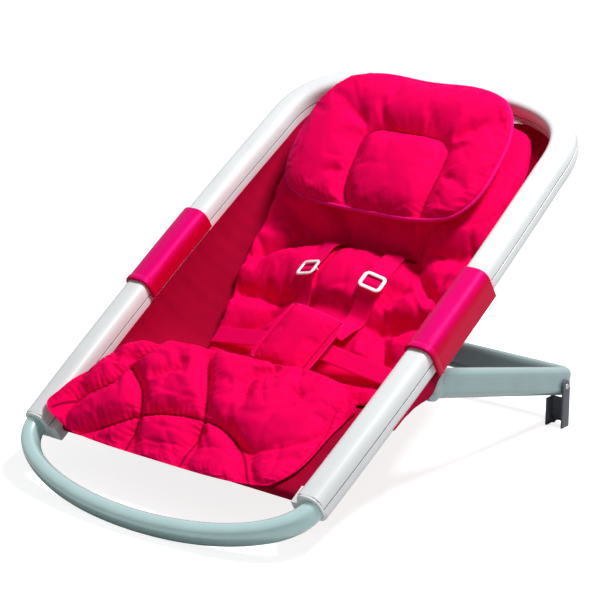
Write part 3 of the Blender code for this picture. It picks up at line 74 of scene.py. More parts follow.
class Slot(Enum):
    """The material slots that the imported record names."""

    FRAME = "frame_white"
    BOW = "bow_metal"
    LEG = "leg_metal"
    FOOT = "foot_grey"
    COVER = "cover_red"
    SLING = "sling_red"
    CUSHION = "cushion_red"
    STRAP = "strap_red"
    SLIDER = "slider_white"
    STEEL = "steel"
    BUCKLE = "buckle_grey"
    BUTTON = "button_red"


class Signal:
    """One output socket, with arithmetic that adds Math nodes to its tree."""

    def __init__(self, graph: Graph, socket: bpy.types.NodeSocket) -> None:
        """Keep the socket and the graph that it belongs to."""
        self.graph = graph
        self.socket = socket

    def _math(self, operation: str, first: Signal | float, second: Signal | float = 0.0) -> Signal:
        """Add one Math node.

        Args:
            operation: The Math node's operation.
            first: The first number or socket.
            second: The second number or socket.

        Returns:
            The node's result.
        """
        return self.graph.node("ShaderNodeMath", {"operation": operation}, [first, second])

    def __add__(self, other: Signal | float) -> Signal:
        """Add."""
        return self._math("ADD", self, other)

    def __radd__(self, other: float) -> Signal:
        """Add to a number."""
        return self._math("ADD", other, self)

    def __sub__(self, other: Signal | float) -> Signal:
        """Subtract."""
        return self._math("SUBTRACT", self, other)

    def __rsub__(self, other: float) -> Signal:
        """Subtract from a number."""
        return self._math("SUBTRACT", other, self)

    def __mul__(self, other: Signal | float) -> Signal:
        """Multiply."""
        return self._math("MULTIPLY", self, other)

    def __rmul__(self, other: float) -> Signal:
        """Multiply a number."""
        return self._math("MULTIPLY", other, self)

    def sine(self) -> Signal:
        """Return the sine."""
        return self._math("SINE", self)

    def folded(self, width: float) -> Signal:
        """Return the distance from the nearest multiple of twice a width."""
        return self._math("PINGPONG", self, width)

    def ramp(self, low: float, high: float) -> Signal:
        """Return a gentle rise from 0 to 1.

        Args:
            low: Where the rise starts.
            high: Where it ends.

        Returns:
            The rise.
        """
        inputs = {"Value": self, "From Min": low, "From Max": high}
        return self.graph.node("ShaderNodeMapRange", {"interpolation_type": "SMOOTHSTEP"}, inputs)


Value = Signal | float | Sequence[float]


class Graph:
    """The node tree of a finish or of the world, round its one shader."""

    def __init__(self, name: str, world: bool = False) -> None:
        """Start a material, or a world, with its shader and output.

        Args:
            name: Its name.
            world: Whether it is a world.
        """
        self.owner = (bpy.data.worlds if world else bpy.data.materials).new(name)
        self.owner.use_nodes = True
        self.tree = self.owner.node_tree
        self.tree.nodes.clear()
        self.shader = self.tree.nodes.new("ShaderNodeBackground" if world else "ShaderNodeBsdfPrincipled")
        output = self.tree.nodes.new("ShaderNodeOutputWorld" if world else "ShaderNodeOutputMaterial")
        self.tree.links.new(self.shader.outputs[0], output.inputs["Surface"])

    def node(self, kind: str, settings: dict | None = None, inputs: dict | Sequence | None = None,
             output: int = 0) -> Signal:
        """Add one node.

        Args:
            kind: The node's type.
            settings: Its settings, made before its sockets are fed.
            inputs: Values or signals by socket name or number, or in order.
            output: The number of the output that is wanted.

        Returns:
            That output.
        """
        made = self.tree.nodes.new(kind)
        for name, setting in (settings or {}).items():
            setattr(made, name, setting)
        pairs = inputs.items() if isinstance(inputs, dict) else enumerate(inputs or ())
        for key, value in pairs:
            self.feed(made.inputs[key], value)
        return Signal(self, made.outputs[output])

    def feed(self, socket: bpy.types.NodeSocket, value: Value) -> None:
        """Link a signal to a socket, or set a plain value on it.

        Args:
            socket: The socket.
            value: The signal or value.
        """
        if isinstance(value, Signal):
            self.tree.links.new(value.socket, socket)
        else:
            socket.default_value = value

    def dress(self, **values: Value) -> Material | bpy.types.World:
        """Feed the shader's sockets.

        Args:
            values: Values by socket name, with an underscore for a space.

        Returns:
            The finished material or world.
        """
        for name, value in values.items():
            self.feed(self.shader.inputs[name.replace("_", " ")], value)
        return self.owner

    def place(self) -> Signal:
        """Return the place on the object, in metres."""
        return self.node("ShaderNodeTexCoord", output=3)

    def along(self) -> tuple[Signal, Signal]:
        """Return how far a place lies across and along the cloth, in metres.

        Returns:
            The two signals.
        """
        flat = self.node("ShaderNodeUVMap", {"uv_map": "metres"})
        parts = self.node("ShaderNodeSeparateXYZ", inputs=[flat])
        return parts, Signal(self, parts.socket.node.outputs[1])

    def noise(self, scale: float, detail: float, where: Signal | None = None) -> Signal:
        """Return a noise of a scale, in waves per metre."""
        inputs = {"Vector": where or self.place(), "Scale": scale, "Detail": detail, "Roughness": 0.55}
        return self.node("ShaderNodeTexNoise", inputs=inputs)

    def mix(self, share: Signal | float, first: Signal | Colour, second: Signal | Colour) -> Signal:
        """Return a mix of two colours."""
        colours = [c if isinstance(c, Signal) else (*c, 1.0) for c in (first, second)]
        return self.node("ShaderNodeMix", {"data_type": "RGBA"}, {0: share, 6: colours[0], 7: colours[1]}, 2)

    def bump(self, height: Signal, distance: float, strength: float, over: Signal | None = None) -> Signal:
        """Return a bump.

        Args:
            height: The relief, from 0 to 1.
            distance: Its real height in metres.
            strength: How strongly it tells.
            over: A bump that lies beneath it.

        Returns:
            The normal.
        """
        inputs = {"Strength": strength, "Distance": distance, "Height": height}
        if over is not None:
            inputs["Normal"] = over
        return self.node("ShaderNodeBump", inputs=inputs)


def darker(colour: Colour, share: float) -> Colour:
    """Return a colour at a share of its brightness."""
    return tuple(part * share for part in colour)


def fibres(sheen: float, fuzz: float, level: float, sheen_tint: Colour = (1.0, 0.0, 0.50),
           glint: Colour = (1.0, 0.10, 0.40)) -> dict[str, float | Sequence[float]]:
    """Return the shader values of dyed cloth.

    Args:
        sheen: How strongly the fibres catch light from the side.
        fuzz: How widely they spread it.
        level: How glossy the cloth is.
        sheen_tint: The colour of the sheen.
        glint: The colour of the gloss.

    Returns:
        The values by socket name.
    """
    return {"Sheen_Weight": sheen, "Sheen_Roughness": fuzz, "Sheen_Tint": (*sheen_tint, 1.0),
            "Specular_IOR_Level": level, "Specular_Tint": (*glint, 1.0)}


@dataclass(frozen=True)
class Moulding:
    """Moulded plastic with an even skin, faint flow marks and handled patches."""

    name: str
    colour: Colour
    roughness: float = 0.32
    grain: float = 0.00004
    coat: float = 0.0
    flow_waves: float = 22.0
    speck_waves: float = 2600.0

    def material(self) -> Material:
        """Return the material.

        Returns:
            The material.
        """
        graph = Graph(self.name)
        flow = graph.noise(self.flow_waves, 3.0)
        speck = graph.noise(self.speck_waves, 1.0)
        tint = graph.mix(flow.ramp(0.35, 0.75), self.colour, darker(self.colour, 0.955))
        gloss = self.roughness + (flow - 0.5) * 0.10 + (speck - 0.5) * 0.06
        skin = graph.bump(speck, self.grain, 0.5)
        values = {"Coat_Weight": self.coat, "Coat_Roughness": 0.12} if self.coat else {}
        return graph.dress(Base_Color=tint, Roughness=gloss, Normal=skin, IOR=1.5, **values)


@dataclass(frozen=True)
class Lacquer:
    """Satin lacquer with fine metal flakes on a steel tube."""

    name: str
    colour: Colour
    roughness: float
    metal: float
    relief: float = 0.00002
    flake_waves: float = 3400.0
    cloud_waves: float = 30.0

    def material(self) -> Material:
        """Return the material.

        Returns:
            The material.
        """
        graph = Graph(self.name)
        flake = graph.noise(self.flake_waves, 1.0)
        cloud = graph.noise(self.cloud_waves, 3.0)
        tint = graph.mix(cloud.ramp(0.3, 0.8), self.colour, darker(self.colour, 0.92))
        tint = graph.mix(flake.ramp(0.60, 0.72) * 0.25, tint, darker(self.colour, 1.25))
        gloss = self.roughness + (cloud - 0.5) * 0.12
        skin = graph.bump(flake, self.relief, 0.35)
        return graph.dress(Base_Color=tint, Roughness=gloss, Metallic=self.metal, Coat_Weight=0.8,
                           Coat_Roughness=0.16, Normal=skin)


@dataclass(frozen=True)
class PlainSteel:
    """Plain turned steel with fine turning marks."""

    name: str
    colour: Colour = (0.58, 0.59, 0.60)
    relief: float = 0.00003
    mark_waves: float = 1800.0

    def material(self) -> Material:
        """Return the material.

        Returns:
            The material.
        """
        graph = Graph(self.name)
        mark = graph.noise(self.mark_waves, 2.0)
        tint = graph.mix(mark.ramp(0.3, 0.8), self.colour, darker(self.colour, 0.72))
        return graph.dress(Base_Color=tint, Roughness=0.28 + mark * 0.15, Metallic=1.0,
                           Normal=graph.bump(mark, self.relief, 0.4))


@dataclass(frozen=True)
class Cloth:
    """Woven cloth: a plain weave, uneven dye, and shade painted along its seams and folds and in its valleys.
    """

    name: str
    colour: Colour
    # shade: the darker colour of the weave's gaps and of the painted shade
    shade: Colour
    thread: float = 0.00055
    relief: float = 0.00009
    sheen: float = 0.08
    sheen_tint: Colour = (1.0, 0.0, 0.50)
    roughness: float = 0.78
    crumple: float = 0.0006
    dye_waves: float = 38.0
    fuzz_waves: float = 1500.0
    crumple_waves: float = 85.0

    def material(self) -> Material:
        """Return the material.

        Returns:
            The material.
        """
        graph = Graph(self.name)
        across, along = graph.along()
        turn = math.pi / self.thread
        weave = 0.5 + 0.5 * (across * turn).sine() * (along * turn).sine()
        dye = graph.noise(self.dye_waves, 4.0)
        fuzz = graph.noise(self.fuzz_waves, 2.0)
        # The sewn attribute holds painted shade along seams and folds and in the valleys between puffs.
        sewn = graph.node("ShaderNodeAttribute", {"attribute_name": "sewn"}, output=2)
        base = graph.mix(dye.ramp(0.32, 0.78) * 0.45, self.colour, darker(self.colour, 0.80))
        base = graph.mix((1.0 - weave) * 0.18, base, self.shade)
        base = graph.mix(sewn.ramp(0.25, 1.0) * 0.80, base, self.shade)
        soft = graph.bump(graph.noise(self.crumple_waves, 3.0), self.crumple, 0.55)
        threads = graph.bump(weave + fuzz * 0.5, self.relief, 0.6, soft)
        return graph.dress(Base_Color=base, Roughness=self.roughness + (fuzz - 0.5) * 0.12, Normal=threads,
                           **fibres(self.sheen, 0.45, 0.10, self.sheen_tint))


@dataclass(frozen=True)
class Webbing:
    """Woven strap with lengthwise ribs, a herringbone centre and firmer edges."""

    name: str
    colour: Colour
    width: float
    rib_pitch: float = 0.0011
    slant_pitch: float = 0.0014
    relief: float = 0.00012
    wear_waves: float = 70.0

    def material(self) -> Material:
        """Return the material.

        Returns:
            The material.
        """
        graph = Graph(self.name)
        across, along = graph.along()
        inward = across.folded(self.width / 2.0)
        rib = 0.5 + 0.5 * (inward * (2.0 * math.pi / self.rib_pitch)).sine()
        slant = 0.5 + 0.5 * ((along + inward * 0.8) * (2.0 * math.pi / self.slant_pitch)).sine()
        edge = 1.0 - inward.ramp(0.0010, 0.0016)
        wear = graph.noise(self.wear_waves, 3.0)
        base = graph.mix(slant * 0.12 + edge * 0.20, self.colour, darker(self.colour, 0.60))
        base = graph.mix(wear.ramp(0.4, 0.9) * 0.2, base, darker(self.colour, 0.80))
        ribs = graph.bump(rib * 0.6 + slant * 0.4, self.relief, 0.6)
        return graph.dress(Base_Color=base, Roughness=0.68 + wear * 0.1, Normal=ribs,
                           **fibres(0.08, 0.45, 0.12))


@dataclass(frozen=True)
class CoatedCloth:
    """Shiny coated cloth drawn tight over a rail, with soft drag lines along it."""

    name: str
    colour: Colour
    # glow: the colour of the highlight painted on the side that faces glow_side, the lamp's side
    glow: Colour
    glow_side: Triple = (0.35, -0.45, 0.82)
    drag_relief: float = 0.0011
    drag_waves: Triple = (70.0, 14.0, 40.0)
    skin_relief: float = 0.00004
    skin_waves: float = 900.0

    def material(self) -> Material:
        """Return the material, with a magenta highlight painted on the side that faces the lamp.

        Returns:
            The material.
        """
        graph = Graph(self.name)
        place = graph.place()
        stretched = graph.node("ShaderNodeVectorMath", {"operation": "MULTIPLY"}, [place, self.drag_waves])
        drag = graph.noise(1.0, 3.0, stretched)
        skin = graph.noise(self.skin_waves, 2.0)
        # Painted highlight: the colour turns toward glow on faces that point to the lamp, broken up by the
        # drag lines.
        facing = graph.node("ShaderNodeNewGeometry", output=1)
        upward = graph.node("ShaderNodeVectorMath", {"operation": "DOT_PRODUCT"}, [facing, self.glow_side], 1)
        painted_highlight = upward.ramp(0.45, 1.0) * (0.55 + 0.60 * drag)
        base = graph.mix(painted_highlight, self.colour, self.glow)
        lines = graph.bump(drag, self.drag_relief, 0.5, graph.bump(skin, self.skin_relief, 0.4))
        return graph.dress(Base_Color=base, Roughness=0.38 + skin * 0.08, Normal=lines,
                           **fibres(0.25, 0.35, 0.20, glint=(1.0, 0.05, 0.55)))


@dataclass
class Palette:
    """All the finishes of the bouncer, made once."""

    crimson: Colour = (0.960, 0.0, 0.100)
    # wine: the colour of the shade painted along the cushions' seams and folds and in their valleys
    wine: Colour = (0.200, 0.0, 0.012)
    made: dict[Slot, Material] = field(default_factory=dict)

    def __post_init__(self) -> None:
        """Make the materials."""
        finishes = {
            Slot.FRAME: Moulding("white moulding", (0.78, 0.805, 0.815), roughness=0.36, grain=0.00003,
                                 coat=0.06),
            Slot.BOW: Lacquer("bow lacquer", (0.47, 0.68, 0.68), roughness=0.30, metal=0.30),
            Slot.LEG: Lacquer("leg lacquer", (0.235, 0.355, 0.365), roughness=0.34, metal=0.25),
            Slot.FOOT: Moulding("grey moulding", (0.070, 0.078, 0.100), roughness=0.42, grain=0.00006),
            # The sleeve's second colour is its painted magenta highlight.
            Slot.COVER: CoatedCloth("coated sleeve", (0.56, 0.0, 0.024), (0.78, 0.0, 0.17)),
            Slot.SLING: Cloth("sling cloth", (0.380, 0.002, 0.028), (0.10, 0.0, 0.008), thread=0.0007,
                              relief=0.00010, sheen=0.06, sheen_tint=(1.0, 0.0, 0.25), roughness=0.85,
                              crumple=0.0004),
            Slot.CUSHION: Cloth("cushion cloth", self.crimson, self.wine),
            Slot.STRAP: Webbing("webbing", (0.86, 0.0, 0.100), width=0.025),
            Slot.SLIDER: Moulding("white slider", (0.95, 0.95, 0.95), roughness=0.30),
            Slot.STEEL: PlainSteel("plain steel"),
            Slot.BUCKLE: Moulding("buckle grey", (0.26, 0.27, 0.29), roughness=0.45, grain=0.00006),
            Slot.BUTTON: Moulding("button red", (0.60, 0.015, 0.05), roughness=0.38),
        }
        for slot, finish in finishes.items():
            self.made[slot] = finish.material()
        self.piping = Cloth("piping cloth", (0.92, 0.006, 0.200), self.wine, thread=0.00045, relief=0.00006,
                            sheen=0.3).material()
        self.dark_steel = PlainSteel("dark steel", (0.10, 0.13, 0.16)).material()
        # A near-black finish for the cord in the frame's parting groove, a painted shadow line.
        self.painted_parting_shadow = Moulding("parting shade", (0.17, 0.18, 0.19), roughness=0.7).material()

    def __getitem__(self, slot: Slot) -> Material:
        """Return the material of a slot."""
        return self.made[slot]


@dataclass(frozen=True)
class TiltedPlane:
    """A plane turned about X; u runs across it, v up it and n square to it."""

    tilt: float
    y: float
    z: float

    def world(self, points: Array) -> Array:
        """Return points of the plane as places in the shared frame.

        Args:
            points: An array whose last axis is (u, v, n).

        Returns:
            The same array as (x, y, z).
        """
        u, v, n = points[..., 0], points[..., 1], points[..., 2]
        c, s = math.cos(self.tilt), math.sin(self.tilt)
        return np.stack((u, v * c - n * s + self.y, v * s + n * c + self.z), axis=-1)

    def local(self, points: Array) -> Array:
        """Return places in the shared frame as points of the plane.

        Args:
            points: An array whose last axis is (x, y, z).

        Returns:
            The same array as (u, v, n).
        """
        x, y, z = points[..., 0], points[..., 1] - self.y, points[..., 2] - self.z
        c, s = math.cos(self.tilt), math.sin(self.tilt)
        return np.stack((x, y * c + z * s, z * c - y * s), axis=-1)


PLANE = TiltedPlane(math.radians(30.86), -0.23714, 0.05385)
LEG_PLANE = TiltedPlane(math.radians(-15.43), -0.03717, 0.13036)


class Curve:
    """A smooth function through (x, y) pairs that never overshoots them."""

    def __init__(self, pairs: Sequence[tuple[float, float]]) -> None:
        """Work out the slopes at the pairs.

        Args:
            pairs: The pairs, in the order of x.
        """
        self.xs = np.array([pair[0] for pair in pairs], dtype=float)
        self.ys = np.array([pair[1] for pair in pairs], dtype=float)
        slope = np.diff(self.ys) / np.diff(self.xs)
        self.slopes = np.zeros(len(self.xs))
        self.slopes[0], self.slopes[-1] = slope[0], slope[-1]
        for i in range(1, len(self.xs) - 1):
            if slope[i - 1] * slope[i] > 0.0:
                self.slopes[i] = 2.0 * slope[i - 1] * slope[i] / (slope[i - 1] + slope[i])

    def __call__(self, x: Array | float) -> Array:
        """Return the values at x.

        Args:
            x: Where the values are wanted.

        Returns:
            The values.
        """
        x = np.clip(x, self.xs[0], self.xs[-1])
        i = np.clip(np.searchsorted(self.xs, x, side="right") - 1, 0, len(self.xs) - 2)
        h = self.xs[i + 1] - self.xs[i]
        t = (x - self.xs[i]) / h
        low = (1.0 + 2.0 * t) * (1.0 - t) ** 2 * self.ys[i] + t * (1.0 - t) ** 2 * h * self.slopes[i]
        high = t * t * (3.0 - 2.0 * t) * self.ys[i + 1] + t * t * (t - 1.0) * h * self.slopes[i + 1]
        return low + high


def smooth_step(share: Array | float) -> Array:
    """Return a share from 0 to 1 that starts and ends gently."""
    share = np.clip(share, 0.0, 1.0)
    return share * share * (3.0 - 2.0 * share)


def run_of(points: Array) -> Array:
    """Return how far along a polyline each of its points lies."""
    return np.concatenate(([0.0], np.cumsum(np.linalg.norm(np.diff(points, axis=0), axis=1))))


def mirrored(half: Array) -> Array:
    """Return the left half of a line, up to the middle, and then its right half."""
    return np.concatenate((half, (half * (-1.0, 1.0))[-2::-1]))


def evenly(points: Sequence, count: int) -> Array:
    """Return points at equal steps along a polyline.

    Args:
        points: The polyline's points.
        count: How many points are wanted.

    Returns:
        The points.
    """
    points = np.array(points, dtype=float)
    run = run_of(points)
    wanted = np.linspace(0.0, run[-1], count)
    return np.stack([np.interp(wanted, run, points[:, k]) for k in range(points.shape[1])], axis=1)


def rounded(angles: Array, half_width: float, half_height: float, roundness: float) -> Array:
    """Return points of a rounded section.

    Args:
        angles: The angles of the points.
        half_width: Half the section's width.
        half_height: Half its height.
        roundness: 2 for an ellipse and more for squarer corners.

    Returns:
        The points as (x, y).
    """
    c, s = np.cos(angles), np.sin(angles)
    x = half_width * np.copysign(np.abs(c) ** (2.0 / roundness), c)
    y = half_height * np.copysign(np.abs(s) ** (2.0 / roundness), s)
    return np.stack((x, y), axis=1)


def ring_of(width: float, height: float, roundness: float, count: int) -> Array:
    """Return a closed rounded section with evenly spread points."""
    dense = rounded(np.linspace(0.0, 2.0 * math.pi, 1441), width / 2.0, height / 2.0, roundness)
    return evenly(dense, count + 1)[:-1]


def cells(rows: int, columns: int) -> Array:
    """Return the corners of a grid's cells, row by row.

    Args:
        rows: How many rows of points the grid has.
        columns: How many columns it has.

    Returns:
        The corners' numbers as cells x 4, first along the row and then to the next row.
    """
    index = np.arange(rows * columns).reshape(rows, columns)
    corners = index[:-1, :-1], index[:-1, 1:], index[1:, 1:], index[1:, :-1]
    return np.stack(corners, axis=-1).reshape(-1, 4)


def stand(name: str, data: bpy.types.ID) -> Piece:
    """Put a new object into the scene.

    Args:
        name: Its name.
        data: Its mesh, light or camera.

    Returns:
        The object.
    """
    made = bpy.data.objects.new(name, data)
    bpy.context.scene.collection.objects.link(made)
    return made


class Workshop:
    """Makes mesh pieces out of rows of points, and puts them on the bodies that they ride on."""

    def __init__(self, palette: Palette) -> None:
        """Keep the finishes and note which body each node belongs to.

        Args:
            palette: The finishes.
        """
        self.palette = palette
        bodies = frame["record"]["behaviour"]["bodies"]
        self.body_of = {node: body for body, nodes in bodies.items() for node in nodes}
        self.trees: dict[str, BVHTree] = {}

    def make(self, name: str, points: Array, faces: list[tuple[int, ...]], material: Material,
             flat: list | None = None, sharp: float = 40.0) -> Piece:
        """Make one mesh object.

        Args:
            name: The piece's name.
            points: Its corners in the shared frame.
            faces: Its faces.
            material: Its finish.
            flat: UV places in metres, one for each face corner in order.
            sharp: Edges over this angle, in degrees, stay sharp.

        Returns:
            The object.
        """
        mesh = bpy.data.meshes.new(name)
        mesh.from_pydata([tuple(p) for p in points], [], faces)
        if flat is not None:
            layer = mesh.uv_layers.new(name="metres")
            layer.data.foreach_set("uv", np.array(flat, dtype=np.float32).ravel())
        mesh.materials.append(material)
        made = stand(name, mesh)
        self.smooth(made, sharp)
        return made

    @staticmethod
    def smooth(piece: Piece, sharp: float) -> None:
        """Shade a piece smooth, with its sharp edges kept."""
        piece.data.shade_smooth()
        piece.data.set_sharp_from_angle(angle=math.radians(sharp))

    def fit(self, piece: Piece, node: str) -> None:
        """Put a piece in a node's stead, on the node's body.

        Args:
            piece: The piece.
            node: The node that it replaces.
        """
        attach(piece, self.body_of[node])
        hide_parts(node)
        LOG.info("%s stands for %s", piece.name, node)

    def add(self, piece: Piece, body: str, slot: Slot) -> None:
        """Put an extra piece on a body.

        Args:
            piece: The piece.
            body: The body.
            slot: The record's material slot; not used.
        """
        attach(piece, body)
        LOG.info("%s rides on %s", piece.name, body)

    def sweep(self, name: str, rings: Array, material: Material, capped: bool = True,
              sharp: float = 40.0, girth_as: float = 0.0) -> Piece:
        """Skin a row of rings.

        Args:
            name: The piece's name.
            rings: The rings as stations x points x 3.
            material: The finish.
            capped: Whether the two ends are closed by a face.
            sharp: The angle, in degrees, over which edges stay sharp.
            girth_as: What the UV layer takes the ring's length to be, or 0 for its real length.

        Returns:
            The piece.
        """
        count, around = rings.shape[:2]
        run = run_of(rings.mean(axis=1))
        middle = rings[count // 2]
        girth = run_of(np.concatenate((middle, middle[:1])))
        if girth_as:
            girth *= girth_as / girth[-1]
        quads = cells(count, around + 1)
        row, column = quads // (around + 1), quads % (around + 1)
        faces = list(map(tuple, (row * around + column % around).tolist()))
        flat = np.stack((girth[column], run[row]), axis=-1).reshape(-1, 2).tolist()
        if capped:
            for row, order in ((0, range(around - 1, -1, -1)), (count - 1, range(around))):
                faces.append(tuple(row * around + j for j in order))
                flat += [(girth[j], run[row]) for j in order]
        made = self.make(name, rings.reshape(-1, 3), faces, material, flat, sharp)
        self.face_out(made)
        return made

    @staticmethod
    def face_out(piece: Piece) -> None:
        """Turn a piece's faces outward.

        Args:
            piece: The piece.
        """
        bm = bmesh.new()
        bm.from_mesh(piece.data)
        bmesh.ops.recalc_face_normals(bm, faces=bm.faces)
        bm.to_mesh(piece.data)
        bm.free()

    def tube(self, name: str, path: Array, radius: float, material: Material,
             closed: bool = False, sides: int = 12, up: Array | None = None,
             flatness: float = 1.0) -> Piece:
        """Make a round cord along a path in the shared frame.

        Args:
            name: The piece's name.
            path: The path's points.
            radius: The cord's radius.
            material: The finish.
            closed: Whether the path is a loop.
            sides: How many sides the cord has.
            up: A direction square to the path, if it isn't the rail plane's own normal.
            flatness: The cord's thickness along that direction, as a share of its width.

        Returns:
            The piece.
        """
        path = np.vstack((path, path[:1])) if closed else path
        tangent = np.gradient(path, axis=0)
        if closed:
            tangent[0] = tangent[-1] = path[1] - path[-2]
        tangent /= np.linalg.norm(tangent, axis=1)[:, None]
        if up is None:
            up = PLANE.world(np.array([0.0, 0.0, 1.0])) - PLANE.world(np.zeros(3))
        side = np.cross(tangent, up)
        side /= np.linalg.norm(side, axis=1)[:, None]
        up = np.cross(side, tangent)
        angles = np.linspace(0.0, 2.0 * math.pi, sides, endpoint=False)
        rings = path[:, None] + radius * (np.cos(angles)[None, :, None] * side[:, None]
                                          + flatness * np.sin(angles)[None, :, None] * up[:, None])
        return self.sweep(name, rings, material, capped=not closed, sharp=TUBE_EDGE)

    def remember(self, name: str, piece: Piece,
                 steps: Sequence[Array] | Array = ((0.0, 0.0, 0.0),)) -> None:
        """Let face_of find a piece by a name, in all the places that it slides to.

        Args:
            name: The name.
            piece: The piece.
            steps: Its shifts in the rail plane.
        """
        places = PLANE.local(np.array([tuple(vertex.co) for vertex in piece.data.vertices]))
        faces = [tuple(face.vertices) for face in piece.data.polygons]
        corners = [Vector(place + np.array(step)) for step in steps for place in places]
        shifted = [tuple(len(places) * turn + corner for corner in face) for turn in range(len(steps))
                   for face in faces]
        self.trees[name] = BVHTree.FromPolygons(corners, shifted)

    def closed_sheet(self, name: str, top: Array, bottom: Array, material: Material) -> Piece:
        """Join two equal grids of plane points into one closed piece.

        Args:
            name: The piece's name.
            top: The upper grid as rows x columns x (u, v, n).
            bottom: The lower grid.
            material: The finish.

        Returns:
            The piece, whose corners list the top grid first, row by row.
        """
        rows, columns = top.shape[:2]
        run = self._runs(top)
        count = rows * columns
        rim_width = np.array((0.0, 0.004))
        quads = cells(rows, columns)
        both = np.stack((quads, quads[:, [0, 3, 2, 1]]), axis=1)
        faces = list(map(tuple, (both + np.array((0, count))[:, None]).reshape(-1, 4).tolist()))
        flat = list(run.reshape(-1, 2)[both].reshape(-1, 2))
        rim = [(i, 0) for i in range(rows - 1)]
        rim += [(rows - 1, j) for j in range(columns - 1)]
        rim += [(i, columns - 1) for i in range(rows - 1, 0, -1)]
        rim += [(0, j) for j in range(columns - 1, 0, -1)]
        for (a, b), (c, d) in zip(rim, rim[1:] + rim[:1]):
            one, two = a * columns + b, c * columns + d
            faces.append((one, two, count + two, count + one))
            flat += [run[a, b], run[c, d], run[c, d] + rim_width, run[a, b] + rim_width]
        corners = np.concatenate((top.reshape(-1, 3), bottom.reshape(-1, 3)))
        made = self.make(name, PLANE.world(corners), faces, material, flat, CLOTH_EDGE)
        self.face_out(made)
        return made

    @staticmethod
    def _runs(grid: Array) -> Array:
        """Return each grid point's distances along its row, from the middle, and along the columns.

        Args:
            grid: The points as rows x columns x 3.

        Returns:
            The distances as rows x columns x 2.
        """
        across = np.linalg.norm(np.diff(grid, axis=1), axis=2)
        across = np.concatenate((np.zeros((len(grid), 1)), np.cumsum(across, axis=1)), axis=1)
        across -= across[:, -1:] / 2.0
        along = run_of(grid[:, grid.shape[1] // 2])
        return np.stack((across, np.tile(along[:, None], (1, grid.shape[1]))), axis=2)

    def refined(self, node: str, slot: Slot, bevel: float, finish: Material | None = None) -> None:
        """Copy a node as a piece with welded corners and softened edges, and put the copy in its stead.

        Args:
            node: The node that is copied and replaced.
            slot: The record's material slot.
            bevel: The width of the softened edges, in metres.
            finish: The finish, if it isn't the slot's own.
        """
        weld, flat, corner = 0.00001, math.radians(1.5), math.radians(38.0)
        bm = bmesh.new()
        bm.from_mesh(frame["nodes"][node].data)
        bmesh.ops.remove_doubles(bm, verts=bm.verts, dist=weld)
        bmesh.ops.dissolve_limit(bm, angle_limit=flat, verts=bm.verts, edges=bm.edges)
        edges = [e for e in bm.edges if len(e.link_faces) == 2 and e.calc_face_angle(0.0) > corner]
        if bevel and edges:
            bmesh.ops.bevel(bm, geom=edges, offset=bevel, segments=2, profile=0.6, affect="EDGES",
                            clamp_overlap=True)
        mesh = bpy.data.meshes.new(node + "_finished")
        bm.to_mesh(mesh)
        bm.free()
        mesh.materials.append(finish or self.palette[slot])
        made = stand(mesh.name, mesh)
        self.smooth(made, 32.0)
        self.fit(made, node)

    def face_of(self, node: str, u: Array, v: Array, upper: bool = True) -> Array:
        """Return the height of a node's upper or under face at places of the rail plane.

        Args:
            node: The node.
            u: The places' u.
            v: The places' v.
            upper: Whether the upper face is wanted, not the under one.

        Returns:
            The heights, with nan beside the node.
        """
        if node not in self.trees:
            self.remember(node, frame["nodes"][node])
        tree = self.trees[node]
        found = np.full(np.shape(u), np.nan)
        ahead = Vector((0.0, 0.0, -1.0 if upper else 1.0))
        for index in np.ndindex(found.shape):
            hit = tree.ray_cast(Vector((u[index], v[index], -ahead.z * 0.5)), ahead)[0]
            if hit is not None:
                found[index] = hit.z
        return found


@dataclass(frozen=True)
class FrameShape:
    """The frame's centre line in the rail plane and the section of its rails."""

    length: float = 0.5148
    half_foot: float = 0.1977
    half_middle: float = 0.2050
    half_head: float = 0.2008
    arch_depth: float = 0.1110
    arch_roundness: float = 3.09
    width: float = 0.0313
    height: float = 0.0378
    roundness: float = 3.0

    def half(self, v: Array | float) -> Array:
        """Return the rails' distance from the middle at a station.

        Args:
            v: The station.

        Returns:
            The distance.
        """
        s = v / self.length
        foot = self.half_foot * (1.0 - s) * (1.0 - 2.0 * s)
        return foot + self.half_middle * 4.0 * s * (1.0 - s) + self.half_head * s * (2.0 * s - 1.0)

    def path(self, count: int) -> Array:
        """Return the centre line from the left foot end round the head, at even steps.

        Args:
            count: How many points are wanted.

        Returns:
            The points as (u, v).
        """
        v = np.linspace(0.0, self.length, 60, endpoint=False)
        angle = np.linspace(0.0, math.pi / 2.0, 600)
        power = 2.0 / self.arch_roundness
        u = np.concatenate((self.half(v), self.half_head * np.cos(angle).clip(0.0) ** power))
        v = np.concatenate((v, self.length + self.arch_depth * np.sin(angle) ** power))
        return evenly(mirrored(np.stack((u, v), axis=1)), count)

    def bottom(self, offset: Array) -> Array:
        """Return how far the underside lies below the centre, at an offset across the rail."""
        share = np.clip(np.abs(offset) / (self.width / 2.0), 0.0, 1.0)
        return self.height / 2.0 * (1.0 - share ** self.roundness) ** (1.0 / self.roundness)


def rings_along(path: Array, shape: Array, outside: float = 1.0) -> Array:
    """Place a section along a path of the rail plane.

    Args:
        path: The path's (u, v) points.
        shape: The section's points; x runs to the outer side and y along n.
        outside: 1 or -1, by the way that the path runs.

    Returns:
        The rings as stations x points x 3.
    """
    tangent = np.gradient(path, axis=0)
    tangent[[0, -1], 0] = 0.0
    tangent /= np.linalg.norm(tangent, axis=1)[:, None]
    side = np.stack((tangent[:, 1], -tangent[:, 0]), axis=1) * outside
    rings = np.zeros((len(path), len(shape), 3))
    rings[..., :2] = path[:, None] + side[:, None] * shape[None, :, :1]
    rings[..., 2] = shape[None, :, 1]
    return rings


